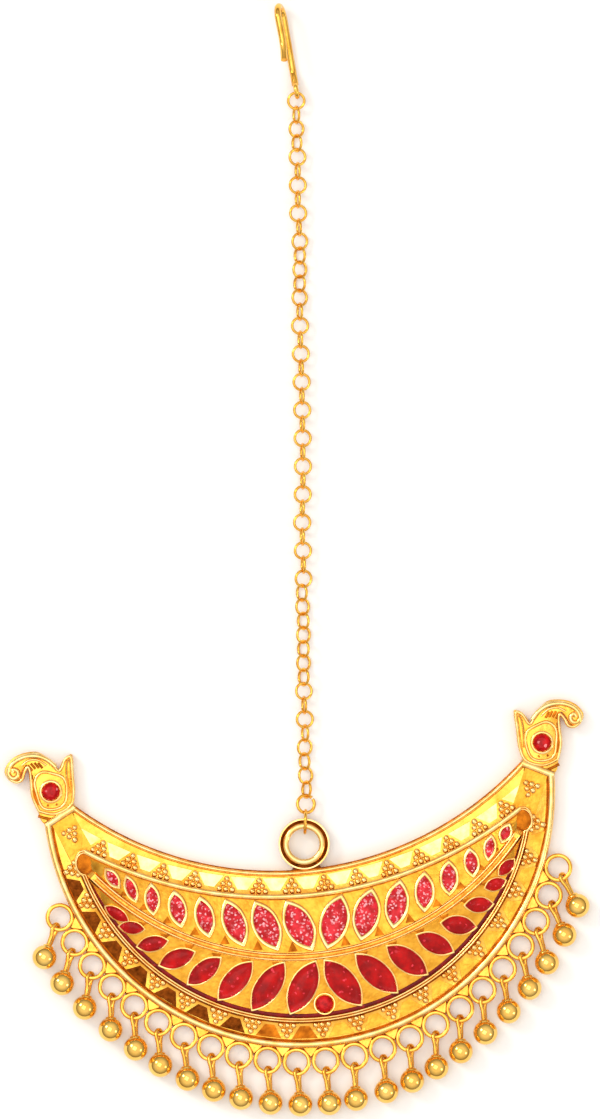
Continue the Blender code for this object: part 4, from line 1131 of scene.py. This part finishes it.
# The second jump ring is cut, and its ends don't quite meet, a little past twelve o'clock
face_radius, face_wire = JUMP_SIZES[1]
cut = [link_place(1) @ Vector((face_radius * math.cos(t), face_radius * math.sin(t), 0.0))
       for t in [math.radians(-40.0 + 350.0 * i / 40) for i in range(41)]]
links.append(wires([cut], 2.0 * face_wire, 2.0 * face_wire, GILT_WIRE))
finish("chain_links", joined(links), GILT_WIRE, ("chain",), lay=False, crease=60.0)

# %% [markdown]
# ## The hair hook
# The hook is thicker wire bent into a crook, with a free end that is flattened and turned out
# so that it slides over the hair, and an eye for the last link. The wire is swept along a
# smooth path through the same points as the CAD hook.

# %% Bending the hook
HOOK_TURN = math.radians(9.8)
HOOK_RADIUS = 0.425
EYE_RADIUS = 0.8
EYE_WIRE = 0.3
eye_height = centres[-1].z
crook_start = 11.1 - 1.6 - HOOK_RADIUS
hook_points = [(0.9 * EYE_RADIUS, eye_height), (2.1 * EYE_RADIUS, 0.5 * (eye_height + HOOK_RADIUS)),
               (3.2 * EYE_RADIUS, HOOK_RADIUS), (5.5, HOOK_RADIUS)]
for step in range(9):
    turn = math.pi * (step / 8.0 - 0.5)
    hook_points.append((crook_start + 1.6 * math.cos(turn), HOOK_RADIUS + 1.6 + 1.6 * math.sin(turn)))
hook_points.append((crook_start - 3.12, HOOK_RADIUS + 3.04))
hook_points.append((crook_start - 5.2, HOOK_RADIUS + 4.0))
lean = math.tan(math.radians(12.0))
hook_line = smooth_line([(x, (z - HOOK_RADIUS) * lean if x > 3.2 else 0.0, z)
                         for x, z in hook_points], 5)
hook = wires([hook_line], 2.0 * HOOK_RADIUS, 2.0 * HOOK_RADIUS, GILT_WIRE, sides=16)
reach = LINK_RADIUS - (LINK_WIRE + EYE_WIRE + 0.06) + EYE_RADIUS
hook_place = Matrix.Translation((centres[-1].x, centres[-1].y + reach, 0.0)) @ Matrix.Rotation(
    0.5 * math.pi + HOOK_TURN, 4, "Z")
eye_place = Matrix.Translation((0.0, 0.0, eye_height)) @ Matrix.Rotation(0.5 * math.pi, 4, "X")
eye = rings([eye_place], EYE_RADIUS, 2.0 * EYE_WIRE, 2.0 * EYE_WIRE, 0.98 * EYE_WIRE, 28, GILT_WIRE)
whole_hook = joined([hook, eye])
whole_hook.transform(hook_place)
finish("hair_hook", whole_hook, GILT_WIRE, ("hook",), lay=False, crease=60.0)

# %% [markdown]
# ## Floor, light and camera
# The jewel is photographed from straight above on white. Gold shows what it reflects, so the
# light is what draws it: a large soft panel straight overhead gives the flats their bright
# yellow, a second from the upper left gives the beads their highlight, and the plain world
# around them is darker, which leaves orange and brown on every slope.

# %% The floor
floor_mesh = mesh_from([(-0.9, -0.9, 0.0), (0.9, -0.9, 0.0), (0.9, 0.9, 0.0), (-0.9, 0.9, 0.0)],
                       [(0, 1, 2, 3)])
floor_mesh.transform(Matrix.Translation((0.0, 0.04, -0.00003)))
floor = bpy.data.objects.new("floor", floor_mesh)
bpy.context.scene.collection.objects.link(floor)
paper = bpy.data.materials.new("white_card")
paper.use_nodes = True
paper.node_tree.nodes["Principled BSDF"].inputs["Base Color"].default_value = linear("#FDFDFD")
paper.node_tree.nodes["Principled BSDF"].inputs["Roughness"].default_value = 0.9
floor_mesh.materials.append(paper)


# %% Lights and world
def panel(name, place, size, power, tint):
    light = bpy.data.lights.new(name, "AREA")
    light.shape = "SQUARE"
    light.size = size
    light.energy = power
    light.color = linear(tint)[:3]
    lamp = bpy.data.objects.new(name, light)
    bpy.context.scene.collection.objects.link(lamp)
    lamp.location = place
    lamp.rotation_mode = "QUATERNION"
    lamp.rotation_quaternion = (Vector((0.0, 0.0, 0.0)) - Vector(place)).to_track_quat("-Z", "Y")
    lamp.visible_camera = False
    return lamp


panel("overhead_panel", (-0.22, 0.12, 1.5), 0.9, 3.6, "#FFFFFF")
panel("left_panel", (-0.75, 0.55, 0.8), 0.3, 3.2, "#FFFDF4")
panel("right_panel", (0.9, -0.3, 0.7), 0.25, 1.2, "#FFF6E6")
world = bpy.data.worlds.new("studio")
world.use_nodes = True
sky = world.node_tree
way_up = add_node(sky, "ShaderNodeSeparateXYZ", {
    "Vector": add_node(sky, "ShaderNodeTexCoord").outputs["Generated"]})
# The dome is bright overhead and dark at the horizon, so that slopes have something to show
dome = add_node(sky, "ShaderNodeMapRange", {
    "Value": way_up.outputs["Z"], "From Min": 0.1, "From Max": 0.8, "To Min": 0.28, "To Max": 1.05})
sky.links.new(dome.outputs["Result"], sky.nodes["Background"].inputs["Strength"])
sky.nodes["Background"].inputs["Color"].default_value = linear("#FFFCF8")
bpy.context.scene.world = world
bpy.context.scene.view_settings.view_transform = "Standard"

# %% The camera
VIEW_HEIGHT = 139.875
DISTANCE = 1200.0
camera_data = bpy.data.cameras.new("camera")
camera_data.sensor_width = 36.0
camera_data.lens = 36.0 * DISTANCE / VIEW_HEIGHT
camera = bpy.data.objects.new("camera", camera_data)
bpy.context.scene.collection.objects.link(camera)
camera.location = (-1.0 * MM, 40.44 * MM, DISTANCE * MM)
bpy.context.scene.camera = camera
print("lens in mm:", round(camera_data.lens, 1))
